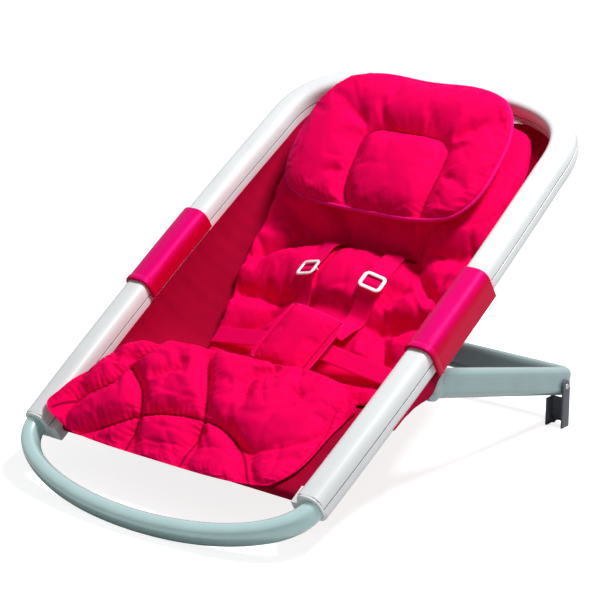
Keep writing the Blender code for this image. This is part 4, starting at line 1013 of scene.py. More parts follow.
@dataclass
class FrameShells:
    """The two white mouldings of the frame, with a fine groove where they meet."""

    shape: FrameShape
    wall: float = 0.0022
    parting: float = 0.0179
    groove: float = 0.0009
    gap: float = 0.0010
    roundness: float = 3.5
    edge_share: float = 0.55
    seam_radius: float = 0.00062
    seam_depth: float = 0.00055
    stations: int = 380
    points: int = 56

    def ring(self, upper: bool) -> Array:
        """Return the C-shaped section of one moulding, whose two tips dip into the groove.

        Args:
            upper: Whether it is the upper moulding's.

        Returns:
            The points as (x, y).
        """
        cut = self.parting - self.shape.height / 2.0 + (0.0 if upper else self.gap)
        sides = []
        for shrink in (0.0, self.wall):
            a, b = self.shape.width / 2.0 - shrink, self.shape.height / 2.0 - shrink
            start = -math.copysign(math.asin((abs(cut) / b) ** (self.roundness / 2.0)), cut)
            end = math.pi - start
            if not upper:
                start, end = end, 2.0 * math.pi + start
            sides.append(evenly(rounded(np.linspace(start, end, 401), a, b, self.roundness), self.points))
        outer, inner = sides
        near = outer[[0, -1]] + (outer[[1, -2]] - outer[[0, -1]]) * self.edge_share
        tips = outer[[0, -1]] - np.sign(outer[[0, -1]]) * (self.groove, 0.0)
        return np.concatenate((tips[:1], near[:1], outer[1:-1], near[1:], tips[1:], inner[::-1]))

    def seam(self, side: float) -> Array:
        """Return the round section of the near-black cord, a painted shadow line, in the groove on one side
        of the rail.

        Args:
            side: 1 for the outer side and -1 for the inner one.

        Returns:
            The points as (x, y).
        """
        a, b = self.shape.width / 2.0, self.shape.height / 2.0
        y = b - self.parting - self.gap / 2.0
        x = a * (1.0 - abs(y / b) ** self.roundness) ** (1.0 / self.roundness) - self.seam_depth
        turn = np.linspace(0.0, 2.0 * math.pi, 9)[:-1]
        ring = np.stack((np.cos(turn), np.sin(turn)), axis=1) * self.seam_radius
        return ring + (side * x, y)

    def build(self, shop: Workshop) -> None:
        """Build both mouldings, the near-black cord of painted shadow between them and the end caps.

        Args:
            shop: The workshop.
        """
        path = self.shape.path(self.stations)
        # A near-black cord lies in the groove on each side as a painted shadow line.
        for name, side in (("outer", 1.0), ("inner", -1.0)):
            rings = PLANE.world(rings_along(path, self.seam(side)))
            line = shop.sweep("frame_parting_shadow_" + name, rings, shop.palette.painted_parting_shadow)
            shop.add(line, "frame", Slot.FRAME)
        for node, upper in (("frame_upper_shell", True), ("frame_lower_shell", False)):
            rings = PLANE.world(rings_along(path, self.ring(upper)))
            shop.fit(shop.sweep(node + "_moulding", rings, shop.palette[Slot.FRAME]), node)
        for side in SIDES:
            shop.refined("end_cap_" + side, Slot.FRAME, 0.0004)


@dataclass
class FrontBow:
    """The flat-oval metal bow at the foot end, with a flat where it stands."""

    half_span: float = 0.2010
    reach: float = 0.0809
    roundness: float = 2.03
    insert: float = 0.0550
    width: float = 0.0196
    height: float = 0.0274
    squareness: float = 2.7
    stations: int = 220
    points: int = 44

    def build(self, shop: Workshop) -> None:
        """Build the bow and its screws.

        Args:
            shop: The workshop.
        """
        angle = np.linspace(0.0, math.pi / 2.0, 500)
        u = self.half_span * np.cos(angle).clip(0.0) ** (2.0 / self.roundness)
        v = -self.reach * np.sin(angle) ** (2.0 / self.roundness)
        half = np.concatenate((((self.half_span, self.insert),), np.stack((u, v), axis=1)))
        section = ring_of(self.width, self.height, self.squareness, self.points)
        rings = PLANE.world(rings_along(evenly(mirrored(half), self.stations), section, -1.0))
        rings[..., 2] = np.maximum(rings[..., 2], 0.0)
        shop.fit(shop.sweep("front_bow_tube", rings, shop.palette[Slot.BOW]), "front_bow")
        for side in SIDES:
            shop.refined("bow_screw_" + side, Slot.STEEL, 0.0002)


@dataclass
class HingeSleeves:
    """The glossy sleeves over the hinges, their cloth skirts and the hinge hardware beneath."""

    shape: FrameShape
    start: float = 0.2158
    end: float = 0.3425
    wall: float = 0.0026
    clearance: float = 0.0009
    outer_drop: float = 0.0190
    inner_drop: float = 0.0055
    slant: float = -0.0007
    lip: float = 0.0008
    hem: float = 0.0075
    rim: float = 0.0010
    rim_drop: float = 0.0008
    hem_rise: float = 0.0015
    stitch_depth: float = 0.0005
    stitch_width: float = 0.0009
    fold_depth: float = 0.00035
    fold_reach: float = 0.030
    points: int = 40
    inner_points: int = 24
    skirt_u: float = 0.2170
    skirt_start: float = 0.1270
    skirt_end: float = 0.2420
    skirt_drop: float = 0.0172
    skirt_hem: Seam = (
        (0.0, 0.03), (0.20, 0.14), (0.44, 0.56), (0.59, 1.0), (0.72, 0.82), (0.82, 0.62), (1.0, 0.45))
    skirt_share: float = 0.60

    def ring(self, grow: Array) -> Array:
        """Return the open-bottomed section, grown outward by an amount at each point of its outside.

        Args:
            grow: The amounts.

        Returns:
            The points as (x, y).
        """
        inner = self.shape.width / 2.0 + self.clearance, self.shape.height / 2.0 + self.clearance
        round_top = np.linspace(0.0, math.pi, 241)
        outer = rounded(round_top, inner[0] + self.wall, inner[1] + self.wall, self.shape.roundness)
        top = evenly(outer, self.points)
        top = top * (1.0 + grow / np.linalg.norm(top, axis=1))[:, None]
        under = evenly(rounded(round_top, *inner, self.shape.roundness), self.inner_points)[::-1]
        edge = self.wall * 0.3
        right, left = top[0, 0], top[-1, 0]
        return np.concatenate((((right - edge, -self.outer_drop), (right, edge - self.outer_drop)), top,
                               ((left, edge - self.inner_drop), (left + edge, -self.inner_drop),
                                (-inner[0], -self.inner_drop)), under, ((inner[0], -self.outer_drop),)))

    def sleeve(self, shop: Workshop, side: str) -> None:
        """Build one sleeve, with a stitched hem at its front end and soft folds above the hem.

        Args:
            shop: The workshop.
            side: Left or right.
        """
        length = self.end - self.start
        stations = np.concatenate(((0.0, 0.0004, self.rim), np.linspace(0.0018, length - self.rim, 60),
                                   (length - 0.0004, length)))
        share = np.linspace(0.0, 1.0, self.points)
        rings = []
        for at in stations:
            raised = self.lip * (1.0 - smooth_step((at - self.hem + self.hem_rise) / self.hem_rise))
            stitched = -self.stitch_depth * math.exp(-((at - self.hem) / self.stitch_width) ** 2)
            rim = max(1.0 - at / self.rim, 0.0) + max(1.0 - (length - at) / self.rim, 0.0)
            rim = -self.rim_drop * rim ** 2
            pull = np.exp(-max(at - self.hem, 0.0) / self.fold_reach) * self.fold_depth * float(at > self.hem)
            folds = pull * np.sin(share * 23.0 + at * 55.0) * np.sin(share * 9.0 + 1.0)
            ring = self.ring(raised + stitched + rim + folds)
            drop = (self.shape.height / 2.0 + self.wall - ring[:, 1]) / (self.shape.height + self.wall)
            lean = self.slant * (1.0 - at / length) * drop
            v = self.start + at
            u = SIDES[side] * (self.shape.half(v) + ring[:, 0])
            rings.append(np.stack((u, v + lean, ring[:, 1]), axis=1))
        sleeve = shop.sweep("hinge_sleeve_" + side, PLANE.world(np.array(rings)), shop.palette[Slot.COVER])
        shop.fit(sleeve, "hinge_cover_" + side)

    def skirt(self, shop: Workshop, side: str) -> None:
        """Build one skirt, a hanging strip of cloth with a turned hem.

        Args:
            shop: The workshop.
            side: Left or right.
        """
        length = self.skirt_end - self.skirt_start
        share = np.linspace(0.0, 1.0, 46)[:, None]
        down = np.linspace(0.0, 1.0, 13)[None, :]
        v = self.skirt_start + length * share + 0.0 * down
        top = -self.shape.bottom(self.skirt_u - self.shape.half(v)) - 2.0 * HAIR
        n = top - self.skirt_drop * Curve(self.skirt_hem)(share) * down
        sway = 0.0009 * np.sin(math.pi * down) + 0.0004 * np.sin(share * 31.0) * down ** 2
        faces = []
        for thick in (0.0013, 0.0001):
            faces.append(np.stack((SIDES[side] * (self.skirt_u + thick + sway), v, n), axis=2))
        made = shop.closed_sheet("hinge_skirt_cloth_" + side, *faces, shop.palette[Slot.SLING])
        shop.fit(made, "hinge_skirt_" + side)

    def build(self, shop: Workshop) -> None:
        """Build both sides, with brackets and pins that are lacquered like the leg.

        Args:
            shop: The workshop.
        """
        lacquer = shop.palette[Slot.LEG]
        for side in SIDES:
            self.sleeve(shop, side)
            self.skirt(shop, side)
            shop.refined("hinge_bracket_" + side, Slot.FOOT, 0.0003, lacquer)
            shop.refined("hinge_pin_" + side, Slot.STEEL, 0.0003, lacquer)
            shop.refined("bracket_screw_" + side, Slot.STEEL, 0.0002)


@dataclass
class RearLeg:
    """The folding leg: a bent flat-oval tube, its hubs, and two channel feet on rivets."""

    length: float = 0.3120
    half_span: float = 0.2030
    width: float = 0.0180
    height: float = 0.0345
    rise: float = 0.0040
    bend: float = 0.0160
    neck: float = 0.0180
    stations: int = 300
    points: int = 48

    def build(self, shop: Workshop) -> None:
        """Build the leg and the feet, with hubs that are lacquered like the leg.

        Args:
            shop: The workshop.
        """
        angle = np.linspace(0.0, math.pi / 2.0, 60)
        u = self.half_span - self.bend * (1.0 - np.cos(angle))
        v = self.length - self.bend * (1.0 - np.sin(angle))
        corner = np.stack((u, v), axis=1)
        half = np.concatenate((((self.half_span, self.neck),), corner, ((0.0, self.length),)))
        path = evenly(mirrored(half), self.stations)
        radius, straight = self.width / 2.0, (self.height - self.width) / 2.0
        turn = np.linspace(0.0, math.pi, 121)
        cap = np.stack((radius * np.cos(turn), straight + radius * np.sin(turn)), axis=1)
        shape = evenly(np.concatenate((cap, -cap, cap[:1])), self.points + 1)[:-1] + (0.0, self.rise)
        rings = LEG_PLANE.world(rings_along(path, shape))
        shop.fit(shop.sweep("support_leg_tube", rings, shop.palette[Slot.LEG]), "support_leg")
        for side in SIDES:
            shop.refined("leg_hub_" + side, Slot.FOOT, 0.0005, shop.palette[Slot.LEG])
            shop.refined("foot_" + side, Slot.FOOT, 0.0005)
            shop.refined("foot_rivet_" + side, Slot.STEEL, 0.0002)


def shares(count: int, gather: float) -> Array:
    """Return count + 1 shares from -1 to 1; gather draws them towards the ends."""
    even = np.linspace(-1.0, 1.0, count + 1)
    return even * (1.0 - gather) + np.sin(math.pi / 2.0 * even) * gather


def crown(s: Array, t: Array | float, power: float) -> Array:
    """Return a cushion's fullness, from 0 at its outline to 1 in the middle."""
    return np.sqrt((1.0 - np.abs(s) ** power) * (1.0 - np.abs(t) ** power))


def round_off(s: Array, t: Array, corner: Array | float) -> Grids:
    """Pull a square's corners in."""
    return s * np.sqrt(1.0 - corner * t ** 4), t * np.sqrt(1.0 - corner * s ** 4)


def doubled(grid: Array, axis: int) -> Array:
    """Return a grid with a soft in-between row added at each step along an axis.

    Args:
        grid: The grid.
        axis: The axis.

    Returns:
        The finer grid.
    """
    grid = np.moveaxis(grid, axis, 0)
    out = np.empty((2 * len(grid) - 1, *grid.shape[1:]))
    out[0::2] = grid
    out[1::2] = (grid[:-1] + grid[1:]) / 2.0
    out[2:-2:2] = (grid[:-2] + 6.0 * grid[1:-1] + grid[2:]) / 8.0
    return np.moveaxis(out, 0, axis)


def flowing(points: Seam, step: float = 0.003) -> Array:
    """Return a smooth line through points, at about even steps.

    Args:
        points: The points.
        step: The step, in metres.

    Returns:
        The line's points.
    """
    points = np.array(points, dtype=float)
    if len(points) == 2:
        return evenly(points, max(int(np.linalg.norm(points[1] - points[0]) / step), 1) + 1)
    padded = np.concatenate((points[:1] * 2.0 - points[1:2], points, points[-1:] * 2.0 - points[-2:-1]))
    found = []
    for a, b, c, d in zip(padded, padded[1:], padded[2:], padded[3:]):
        for t in np.linspace(0.0, 1.0, 24, endpoint=False):
            found.append(0.5 * (2.0 * b + (c - a) * t + (2.0 * a - 5.0 * b + 4.0 * c - d) * t * t
                                + (3.0 * b - a - 3.0 * c + d) * t ** 3))
    found.append(points[-1])
    length = np.linalg.norm(np.diff(found, axis=0), axis=1).sum()
    return evenly(found, max(int(length / step), 4) + 1)


@dataclass(frozen=True)
class Crease:
    """A line along which cloth is sewn down or folds over."""

    points: Seam
    depth: float = 0.0030
    width: float = 0.0022
    valley: float = 0.0030
    reach: float = 0.0100
    pucker: float = 0.0006
    # How strongly shade is painted along the line, from 0 to 1.
    painted_shade: float = 1.0
    fade: float = 0.0

    def measure(self, u: Array, v: Array) -> tuple[Array, Array, Array]:
        """Return each place's distance from the line, its run along the line and its side of it.

        Args:
            u: The places' u.
            v: The places' v.

        Returns:
            The three arrays.
        """
        line = flowing(self.points)
        place = np.stack((u.ravel(), v.ravel()), axis=1)
        best = np.full(len(place), np.inf)
        run, side = np.zeros(len(place)), np.ones(len(place))
        gone = 0.0
        for a, b in zip(line, line[1:]):
            step = b - a
            length = float(np.linalg.norm(step))
            share = np.clip((place - a) @ step / length ** 2, 0.0, 1.0)
            off = place - a - share[:, None] * step
            distance = np.linalg.norm(off, axis=1)
            nearer = distance < best
            best[nearer] = distance[nearer]
            run[nearer] = gone + share[nearer] * length
            side[nearer] = np.sign(step[0] * off[nearer, 1] - step[1] * off[nearer, 0])
            gone += length
        if self.fade:
            left = np.minimum(run, gone - run) + 0.2 * self.fade
            best = best + self.fade * 0.5 * (1.0 - smooth_step(left / self.fade))
        return best.reshape(u.shape), run.reshape(u.shape), side.reshape(u.shape)


@dataclass(frozen=True)
class Quiet:
    """A zone round a line where something lies on a cushion and keeps it down."""

    points: Seam
    radius: float
    rise: float = 0.014

    def near(self, u: Array, v: Array) -> Array:
        """Return 0 within the zone, and 1 beyond it."""
        distance = Crease(self.points).measure(u, v)[0]
        return smooth_step((distance - self.radius) / self.rise)


class Spread(NamedTuple):
    """The points of a cushion's grid: their shares s and t, and their places u and v."""

    s: Array
    t: Array
    u: Array
    v: Array


@dataclass
class Cushion:
    """A padded piece: two cloth faces joined at a rim, stuffed, and drawn in along its creases."""

    name: str
    node: str
    columns: int
    rows: int
    fill: float
    pressure: float
    growth: float
    cap: float
    round_rim: float
    gather: float = 0.5
    piping: float = 0.0
    detail: int = 1
    creases: tuple[Crease, ...] = ()
    quiet: tuple[Quiet, ...] = ()
    lids: tuple[str, ...] = ()
    hem_pucker: float = 0.0
    pucker_pitch: float = 0.0011
    pucker_beat: float = 0.0047
    pucker_reach: float = 0.0070
    gather_pitch: float = 0.0013
    gather_beat: float = 0.0052
    gather_stray: float = 0.0090
    gather_reach: float = 0.0090
    stitched_flat: float = 0.0020
    rumple: float = 0.0
    settle: float = 0.7
    # shade: the share of painted shade at the bottom of the valleys; shade_depth: the valley depth at which
    # it is strongest
    shade: float = 0.65
    shade_depth: float = 0.011
    thinnest: float = 0.0004
    sim_frames: int = 20
    cord_step: float = 0.0035

    def outline(self, s: Array, t: Array) -> Grids:
        """Return the (u, v) place of each share."""
        raise NotImplementedError

    def faces(self, shop: Workshop, grid: Spread) -> Grids:
        """Return the heights of the under and the upper face."""
        raise NotImplementedError

    def lay(self, points: Array) -> Array:
        """Return the cushion's own points as points of the rail plane."""
        return points

    def sunk(self, u: Array, v: Array, sharp: bool) -> Grids:
        """Return how far the creases draw each place down.

        Args:
            u: The places' u.
            v: The places' v.
            sharp: Whether the narrow creases and puckers are wanted, not the broad valleys.

        Returns:
            The depth, and how strongly shade is painted at each place.
        """
        depth, painted_shade = np.zeros(u.shape), np.zeros(u.shape)
        for number, crease in enumerate(self.creases):
            distance, run, side = crease.measure(u, v)
            if not sharp:
                depth = np.maximum(depth, crease.valley * np.exp(-(distance / crease.reach) ** 2))
                continue
            line = crease.depth * np.exp(-(distance / crease.width) ** 1.5)
            wave = np.sin(run / self.pucker_pitch + side * 1.9 + number)
            wave *= 0.6 + 0.4 * np.sin(run / self.pucker_beat + side)
            pucker = crease.pucker * wave * np.exp(-(distance / self.pucker_reach))
            depth = depth + line + pucker * smooth_step(distance / self.stitched_flat)
            # Painted shade: darker along each crease's line.
            painted_shade = np.maximum(painted_shade, crease.painted_shade * np.exp(-(distance / (crease.width * 0.8)) ** 2))
        return depth, painted_shade

    def gathers(self, u: Array, v: Array) -> Array:
        """Return the depth of the little gathers that run in from the hem.

        Args:
            u: The places' u.
            v: The places' v.

        Returns:
            The depths.
        """
        step = np.linalg.norm(np.stack((np.gradient(u, axis=1), np.gradient(v, axis=1)), axis=2), axis=2)
        rise = np.linalg.norm(np.stack((np.gradient(u, axis=0), np.gradient(v, axis=0)), axis=2), axis=2)
        across, along = np.cumsum(step, axis=1), np.cumsum(rise, axis=0)
        sides = np.minimum(across, across[:, -1:] - across), np.minimum(along, along[-1:] - along)
        inset = np.minimum(*sides)
        run = np.where(sides[0] < sides[1], along, across)
        wave = np.sin(run / self.gather_pitch + 2.0 * np.sin(run / self.gather_stray))
        wave *= 0.65 + 0.35 * np.sin(run / self.gather_beat + 1.0)
        depth = self.hem_pucker * wave * np.exp(-inset / self.gather_reach)
        return depth * smooth_step(inset / self.stitched_flat)

    def calm(self, u: Array, v: Array) -> Array | float:
        """Return 0 where something keeps the cloth down, and 1 away from it."""
        return np.min([zone.near(u, v) for zone in self.quiet], axis=0) if self.quiet else 1.0

    def rumples(self, u: Array, v: Array) -> Array:
        """Return the depth of the short slack folds that lie all over the cloth.

        Args:
            u: The places' u.
            v: The places' v.

        Returns:
            The depths.
        """
        depth = np.zeros(u.shape)
        sets = (0.45, 0.0150, 0.9), (1.20, 0.0190, 1.3), (2.15, 0.0125, 0.7), (2.75, 0.0240, 1.6)
        for turn, pitch, stray in sets:
            along = u * math.cos(turn) + v * math.sin(turn)
            across = v * math.cos(turn) - u * math.sin(turn)
            phase = across / pitch + stray * np.sin(along / (2.3 * pitch) + turn)
            spot = np.sin(along / (1.3 * pitch) + 3.0 * turn) * np.sin(across / (2.9 * pitch) + turn)
            depth += smooth_step(0.4 + spot) * np.exp(-(np.sin(phase) / 0.28) ** 2)
        return self.rumple * depth

    def inflate(self, shop: Workshop, top: Array, pins: Array) -> Array:
        """Blow the upper face up as cloth.

        Args:
            shop: The workshop.
            top: The upper face as rows x columns x (u, v, n), in the rail plane.
            pins: Where the cloth is held.

        Returns:
            The face, after it has moved by the cap at most.
        """
        faces = list(map(tuple, cells(*top.shape[:2]).tolist()))
        rest = PLANE.world(top).reshape(-1, 3)
        cloth = shop.make(self.name + "_sim", rest, faces, shop.palette[Slot.CUSHION])
        held = cloth.vertex_groups.new(name="held")
        held.add([int(k) for k in np.flatnonzero(pins.ravel())], 1.0, "ADD")
        settings = cloth.modifiers.new("stuffing", "CLOTH").settings
        settings.quality = 6
        settings.mass = 0.25
        settings.vertex_group_mass = held.name
        settings.use_pressure = True
        settings.uniform_pressure_force = self.pressure
        settings.shrink_min = -self.growth
        settings.tension_stiffness = settings.compression_stiffness = 18.0
        settings.shear_stiffness = 6.0
        settings.bending_stiffness = 0.4
        settings.effector_weights.gravity = 0.0
        scene = bpy.context.scene
        for at in range(1, self.sim_frames + 1):
            scene.frame_set(at)
        shaped = cloth.evaluated_get(bpy.context.evaluated_depsgraph_get()).to_mesh()
        moved = np.empty(len(rest) * 3, dtype=np.float32)
        shaped.vertices.foreach_get("co", moved)
        scene.frame_set(1)
        bpy.data.objects.remove(cloth, do_unlink=True)
        step = moved.reshape(-1, 3).astype(float) - rest
        far = np.linalg.norm(step, axis=1, keepdims=True)
        step *= np.minimum(1.0, self.cap / np.maximum(far, 1e-9))
        return PLANE.local(rest + step).reshape(top.shape)

    def build(self, shop: Workshop) -> None:
        """Build the cushion in its node's stead.

        Args:
            shop: The workshop.
        """
        s, t = np.meshgrid(shares(self.columns, self.gather), shares(self.rows, self.gather))
        u, v = self.outline(s, t)
        low, high = self.faces(shop, Spread(s, t, u, v))
        middle, thick = (low + high) / 2.0, (high - low) / 2.0
        rim = np.minimum((1.0 - np.abs(s)) * np.ptp(u) / 2.0, (1.0 - np.abs(t)) * np.ptp(v) / 2.0)
        full = np.sqrt(1.0 - (1.0 - np.clip(rim / self.round_rim, 0.0, 1.0)) ** 2)
        thick = self.thinnest + (thick - self.thinnest) * full
        valley = self.sunk(u, v, False)[0] * full
        top = self.lay(np.stack((u, v, middle + thick - valley), axis=2))
        under = self.lay(np.stack((u, v, middle - thick), axis=2))
        ceiling = np.maximum(middle + thick, middle)
        pins = rim < 1e-6
        for crease in self.creases:
            pins |= crease.measure(u, v)[0] < 0.0022 + 0.2 * crease.width
        loose = self.cap * self.calm(u, v)
        top = self.inflate(shop, top, pins)
        lid = self.lay(np.stack((u, v, ceiling + loose), axis=2))[..., 2]
        top[..., 2] -= self.settle * valley
        top[..., 2] = np.clip(top[..., 2], under[..., 2] + 2.0 * self.thinnest * full, lid)
        for _ in range(self.detail):
            top, under, u, v, full = (doubled(doubled(grid, 0), 1) for grid in (top, under, u, v, full))
        sharp, painted_shade = self.sunk(u, v, True)
        sharp = sharp + self.gathers(u, v) + self.calm(u, v) * self.rumples(u, v)
        # Painted shade: the deeper the valley, the darker its colour.
        hollow = np.clip(self.sunk(u, v, False)[0] / self.shade_depth, 0.0, 1.0) ** 1.5
        painted_shade = np.maximum(painted_shade, self.shade * hollow)
        spare = np.maximum(top[..., 2] - under[..., 2] - 2.0 * self.thinnest, 0.0)
        top[..., 2] -= np.minimum(sharp * full, spare)
        for node in self.lids:
            resting = shop.face_of(node, top[..., 0], top[..., 1], upper=False)
            top[..., 2] = np.fmin(top[..., 2], resting - HAIR)
        top[..., 2] = np.maximum(top[..., 2], under[..., 2] + self.thinnest)
        made = shop.closed_sheet(self.name, top, under, shop.palette[Slot.CUSHION])
        # The sewn attribute carries the painted shade into the cloth's colour.
        sewn = made.data.attributes.new("sewn", "FLOAT", "POINT")
        sewn.data.foreach_set("value", np.concatenate((painted_shade.ravel(), np.zeros(painted_shade.size))).astype(np.float32))
        shop.fit(made, self.node)
        shop.remember(self.name, made)
        if self.piping:
            self.pipe(shop, (top + under) / 2.0)

    def pipe(self, shop: Workshop, middle: Array) -> None:
        """Sew a corded edge round the rim.

        Args:
            shop: The workshop.
            middle: The points halfway between the two faces.
        """
        loop = np.concatenate((middle[0, :-1], middle[:-1, -1], middle[-1, :0:-1], middle[:0:-1, 0]))
        length = np.linalg.norm(np.roll(loop, -1, 0) - loop, axis=1).sum()
        path = PLANE.world(evenly(np.concatenate((loop, loop[:1])), int(length / self.cord_step) + 1)[:-1])
        cord = shop.tube(self.name + "_piping", path, self.piping, shop.palette.piping, closed=True)
        shop.add(cord, shop.body_of[self.node], Slot.CUSHION)


@dataclass
class SeatCloth:
    """The stretched cloth that hangs between the rails and wraps round the hem rod."""

    shape: FrameShape
    thickness: float = 0.0016
    clearance: float = 0.0005
    edge_n: float = -0.0095
    edge_run: float = 0.0450
    depth: float = 0.1080
    deepest_v: float = 0.2380
    head_v: float = 0.6030
    box: float = 4.0
    rod_v: float = 0.0130
    rod_n: float = -0.0090
    rod_radius: float = 0.0053
    lug_v: float = 0.0240
    lug_run: float = 0.0040
    lug_u: float = 0.1702
    stations: int = 190
    hem_points: int = 14
    columns: int = 84
    gather: float = 0.9
    drag: float = 0.00040
    fore: Seam = ((0.21, 0.14), (0.41, 0.24), (0.59, 0.44), (0.74, 0.72), (0.88, 0.93), (1.0, 1.0))
    aft: Seam = ((0.10, 0.96), (0.25, 0.815), (0.44, 0.645), (0.66, 0.44), (0.855, 0.255), (1.0, 0.11))

    def __post_init__(self) -> None:
        """Work out the opening between the rails and the depth along the middle."""
        path = self.shape.path(3001)
        path = path[path[:, 0] > 0.0]
        step = np.diff(path, axis=0)
        step /= np.linalg.norm(step, axis=1)[:, None]
        share = abs(self.edge_n) / (self.shape.height / 2.0)
        half = self.shape.width / 2.0 * (1.0 - share ** self.shape.roundness) ** (1.0 / self.shape.roundness)
        inside = path[:-1] + np.stack((-step[:, 1], step[:, 0]), axis=1) * half
        self.inside = inside[:int(np.argmax(inside[:, 1])) + 1]
        front, back = self.deepest_v - self.rod_v, self.head_v - self.deepest_v
        pairs = [(self.rod_v, self.hem_top())]
        pairs += [(self.rod_v + front * along, -self.depth * deep) for along, deep in self.fore]
        pairs += [(self.deepest_v + back * along, -self.depth * deep) for along, deep in self.aft]
        self.centre = Curve(pairs)

    def hem_top(self) -> float:
        """Return the height of the cloth over the hem rod."""
        return self.rod_n + self.rod_radius + self.thickness / 2.0

    def half(self, v: Array) -> Array:
        """Return the cloth's half width at a station.

        Args:
            v: The station.

        Returns:
            The half width.
        """
        wide = np.interp(v, self.inside[:, 1], self.inside[:, 0]) - self.clearance
        share = np.clip((v - self.lug_v) / self.lug_run, 0.0, 1.0)
        return np.minimum(wide, self.lug_u) * (1.0 - share) + wide * share

    def height(self, u: Array, v: Array) -> Array:
        """Return the height of the cloth's middle.

        Args:
            u: The places' u.
            v: The places' v.

        Returns:
            The heights.
        """
        share = np.clip(np.abs(u) / self.half(v), 0.0, 1.0)
        blend = smooth_step((v - self.rod_v) / self.edge_run)
        edge = self.hem_top() * (1.0 - blend) + self.edge_n * blend
        return edge + (self.centre(v) - edge) * np.sqrt(1.0 - share ** self.box)

    def top(self, u: Array, v: Array) -> Array:
        """Return the height of the cloth's upper face.

        Args:
            u: The places' u.
            v: The places' v.

        Returns:
            The heights.
        """
        step = 0.002
        du = (self.height(u + step, v) - self.height(u - step, v)) / (2.0 * step)
        dv = (self.height(u, v + step) - self.height(u, v - step)) / (2.0 * step)
        return self.height(u, v) + self.thickness / 2.0 * np.sqrt(1.0 + du * du + dv * dv)

    def build(self, shop: Workshop) -> None:
        """Build the cloth as one sheet, from its turned hem to the head end.

        Args:
            shop: The workshop.
        """
        dense = np.linspace(self.rod_v, self.head_v, 1500)
        line = np.stack((dense, self.half(dense), self.centre(dense)), axis=1)
        v = evenly(line, self.stations)[:, 0]
        angle = np.radians(np.linspace(270.0, 90.0, self.hem_points, endpoint=False))
        radius = self.rod_radius + self.thickness / 2.0
        turned = self.rod_v + 0.0060, self.rod_v + 0.0030
        hem_v = np.concatenate((turned, self.rod_v + radius * np.cos(angle)))
        hem_n = np.concatenate((np.full(2, self.rod_n - radius), self.rod_n + radius * np.sin(angle)))
        across = shares(self.columns, self.gather)
        rows = np.zeros((len(hem_v) + len(v), len(across), 3))
        rows[:len(hem_v), :, 0] = across * self.half(np.array([self.rod_v]))
        rows[:len(hem_v), :, 1] = hem_v[:, None]
        rows[:len(hem_v), :, 2] = hem_n[:, None]
        body = rows[len(hem_v):]
        body[..., 0] = across * self.half(v)[:, None]
        body[..., 1] = v[:, None]
        body[..., 2] = self.height(body[..., 0], body[..., 1])
        along, sideways = np.gradient(rows, axis=0), np.gradient(rows, axis=1)
        normal = np.cross(sideways, along)
        normal /= np.maximum(np.linalg.norm(normal, axis=2, keepdims=True), 1e-12)
        drag = np.zeros(rows.shape[:2])
        side = np.abs(across)[None, :]
        run = body[..., 1]
        drag[len(hem_v):] = self.drag * np.sin(run / 0.0046 + 4.0 * side) * np.sin(run / 0.013 + 6.0 * side)
        drag *= smooth_step((side - 0.55) / 0.3)
        rows = rows + normal * drag[..., None]
        half = normal * (self.thickness * 0.45)
        cloth = shop.closed_sheet("seat_cloth", rows + half, rows - half, shop.palette[Slot.SLING])
        shop.fit(cloth, "seat_sling")
        diagonals = (rows[1:, 1:] - rows[:-1, :-1], rows[1:, :-1] - rows[:-1, 1:])
        length = float(np.linalg.norm(np.diff(rows[:, self.columns // 2], axis=0), axis=1).sum())
        shop.refined("front_crossbar", Slot.STEEL, 0.0, shop.palette.dark_steel)


@dataclass
class BackPad(Cushion):
    """The cushion that lines the seat and the back."""

    name: str = "back_cushion"
    node: str = "back_pad"
    columns: int = 76
    rows: int = 96
    fill: float = 0.75
    pressure: float = 8.0
    growth: float = 0.03
    cap: float = 0.010
    round_rim: float = 0.006
    gather: float = 0.35
    hem_pucker: float = 0.0005
    rumple: float = 0.0026
    seat: SeatCloth = field(default_factory=lambda: SeatCloth(FrameShape()))
    start: float = 0.1880
    end: float = 0.5980
    half_seat: float = 0.1380
    half_head: float = 0.1640
    lift: float = 0.0015
    panel_rise: float = 0.0070
    full: Seam = (
        (0.0, 0.0060), (0.07, 0.0200), (0.14, 0.0275), (0.22, 0.0300), (0.28, 0.0250), (0.33, 0.0310),
        (0.39, 0.0310), (0.46, 0.0260), (0.515, 0.0170), (0.59, 0.0330), (0.68, 0.0360), (0.76, 0.0300),
        (0.84, 0.0240), (0.92, 0.0210), (1.0, 0.0060))

    def outline(self, s: Array, t: Array) -> Grids:
        """Return the (u, v) place of each share.

        Args:
            s: The shares across.
            t: The shares along.

        Returns:
            The places' u and v.
        """
        middle, reach = (self.start + self.end) / 2.0, (self.end - self.start) / 2.0
        half = Curve(((self.start, self.half_seat), (middle, self.half_head - 0.003),
                      (self.end - 0.5 * self.half_head, self.half_head), (self.end, self.half_head - 0.010)))
        s, t = round_off(s, t, np.where(t > 0.0, 0.18, 0.09))
        v = middle + reach * t
        return s * (half(v) - 0.0015), v

    def faces(self, shop: Workshop, grid: Spread) -> Grids:
        """Return the heights of the under and the upper face.

        Args:
            shop: The workshop; not used.
            grid: The cushion's grid.

        Returns:
            The two grids of heights.
        """
        s, _, u, v = grid
        fullness = Curve([(self.start + (self.end - self.start) * along, deep) for along, deep in self.full])
        low = self.seat.top(u, v) + self.lift
        panel = smooth_step((v - 0.255) / 0.03) * smooth_step((0.412 - v) / 0.04)
        panel = self.panel_rise * panel * np.exp(-(np.abs(u) / 0.034) ** 4)
        return low, low + panel + np.maximum(fullness(v) * (0.30 + 0.70 * crown(s, 0.0, 5.0)), 0.0040)


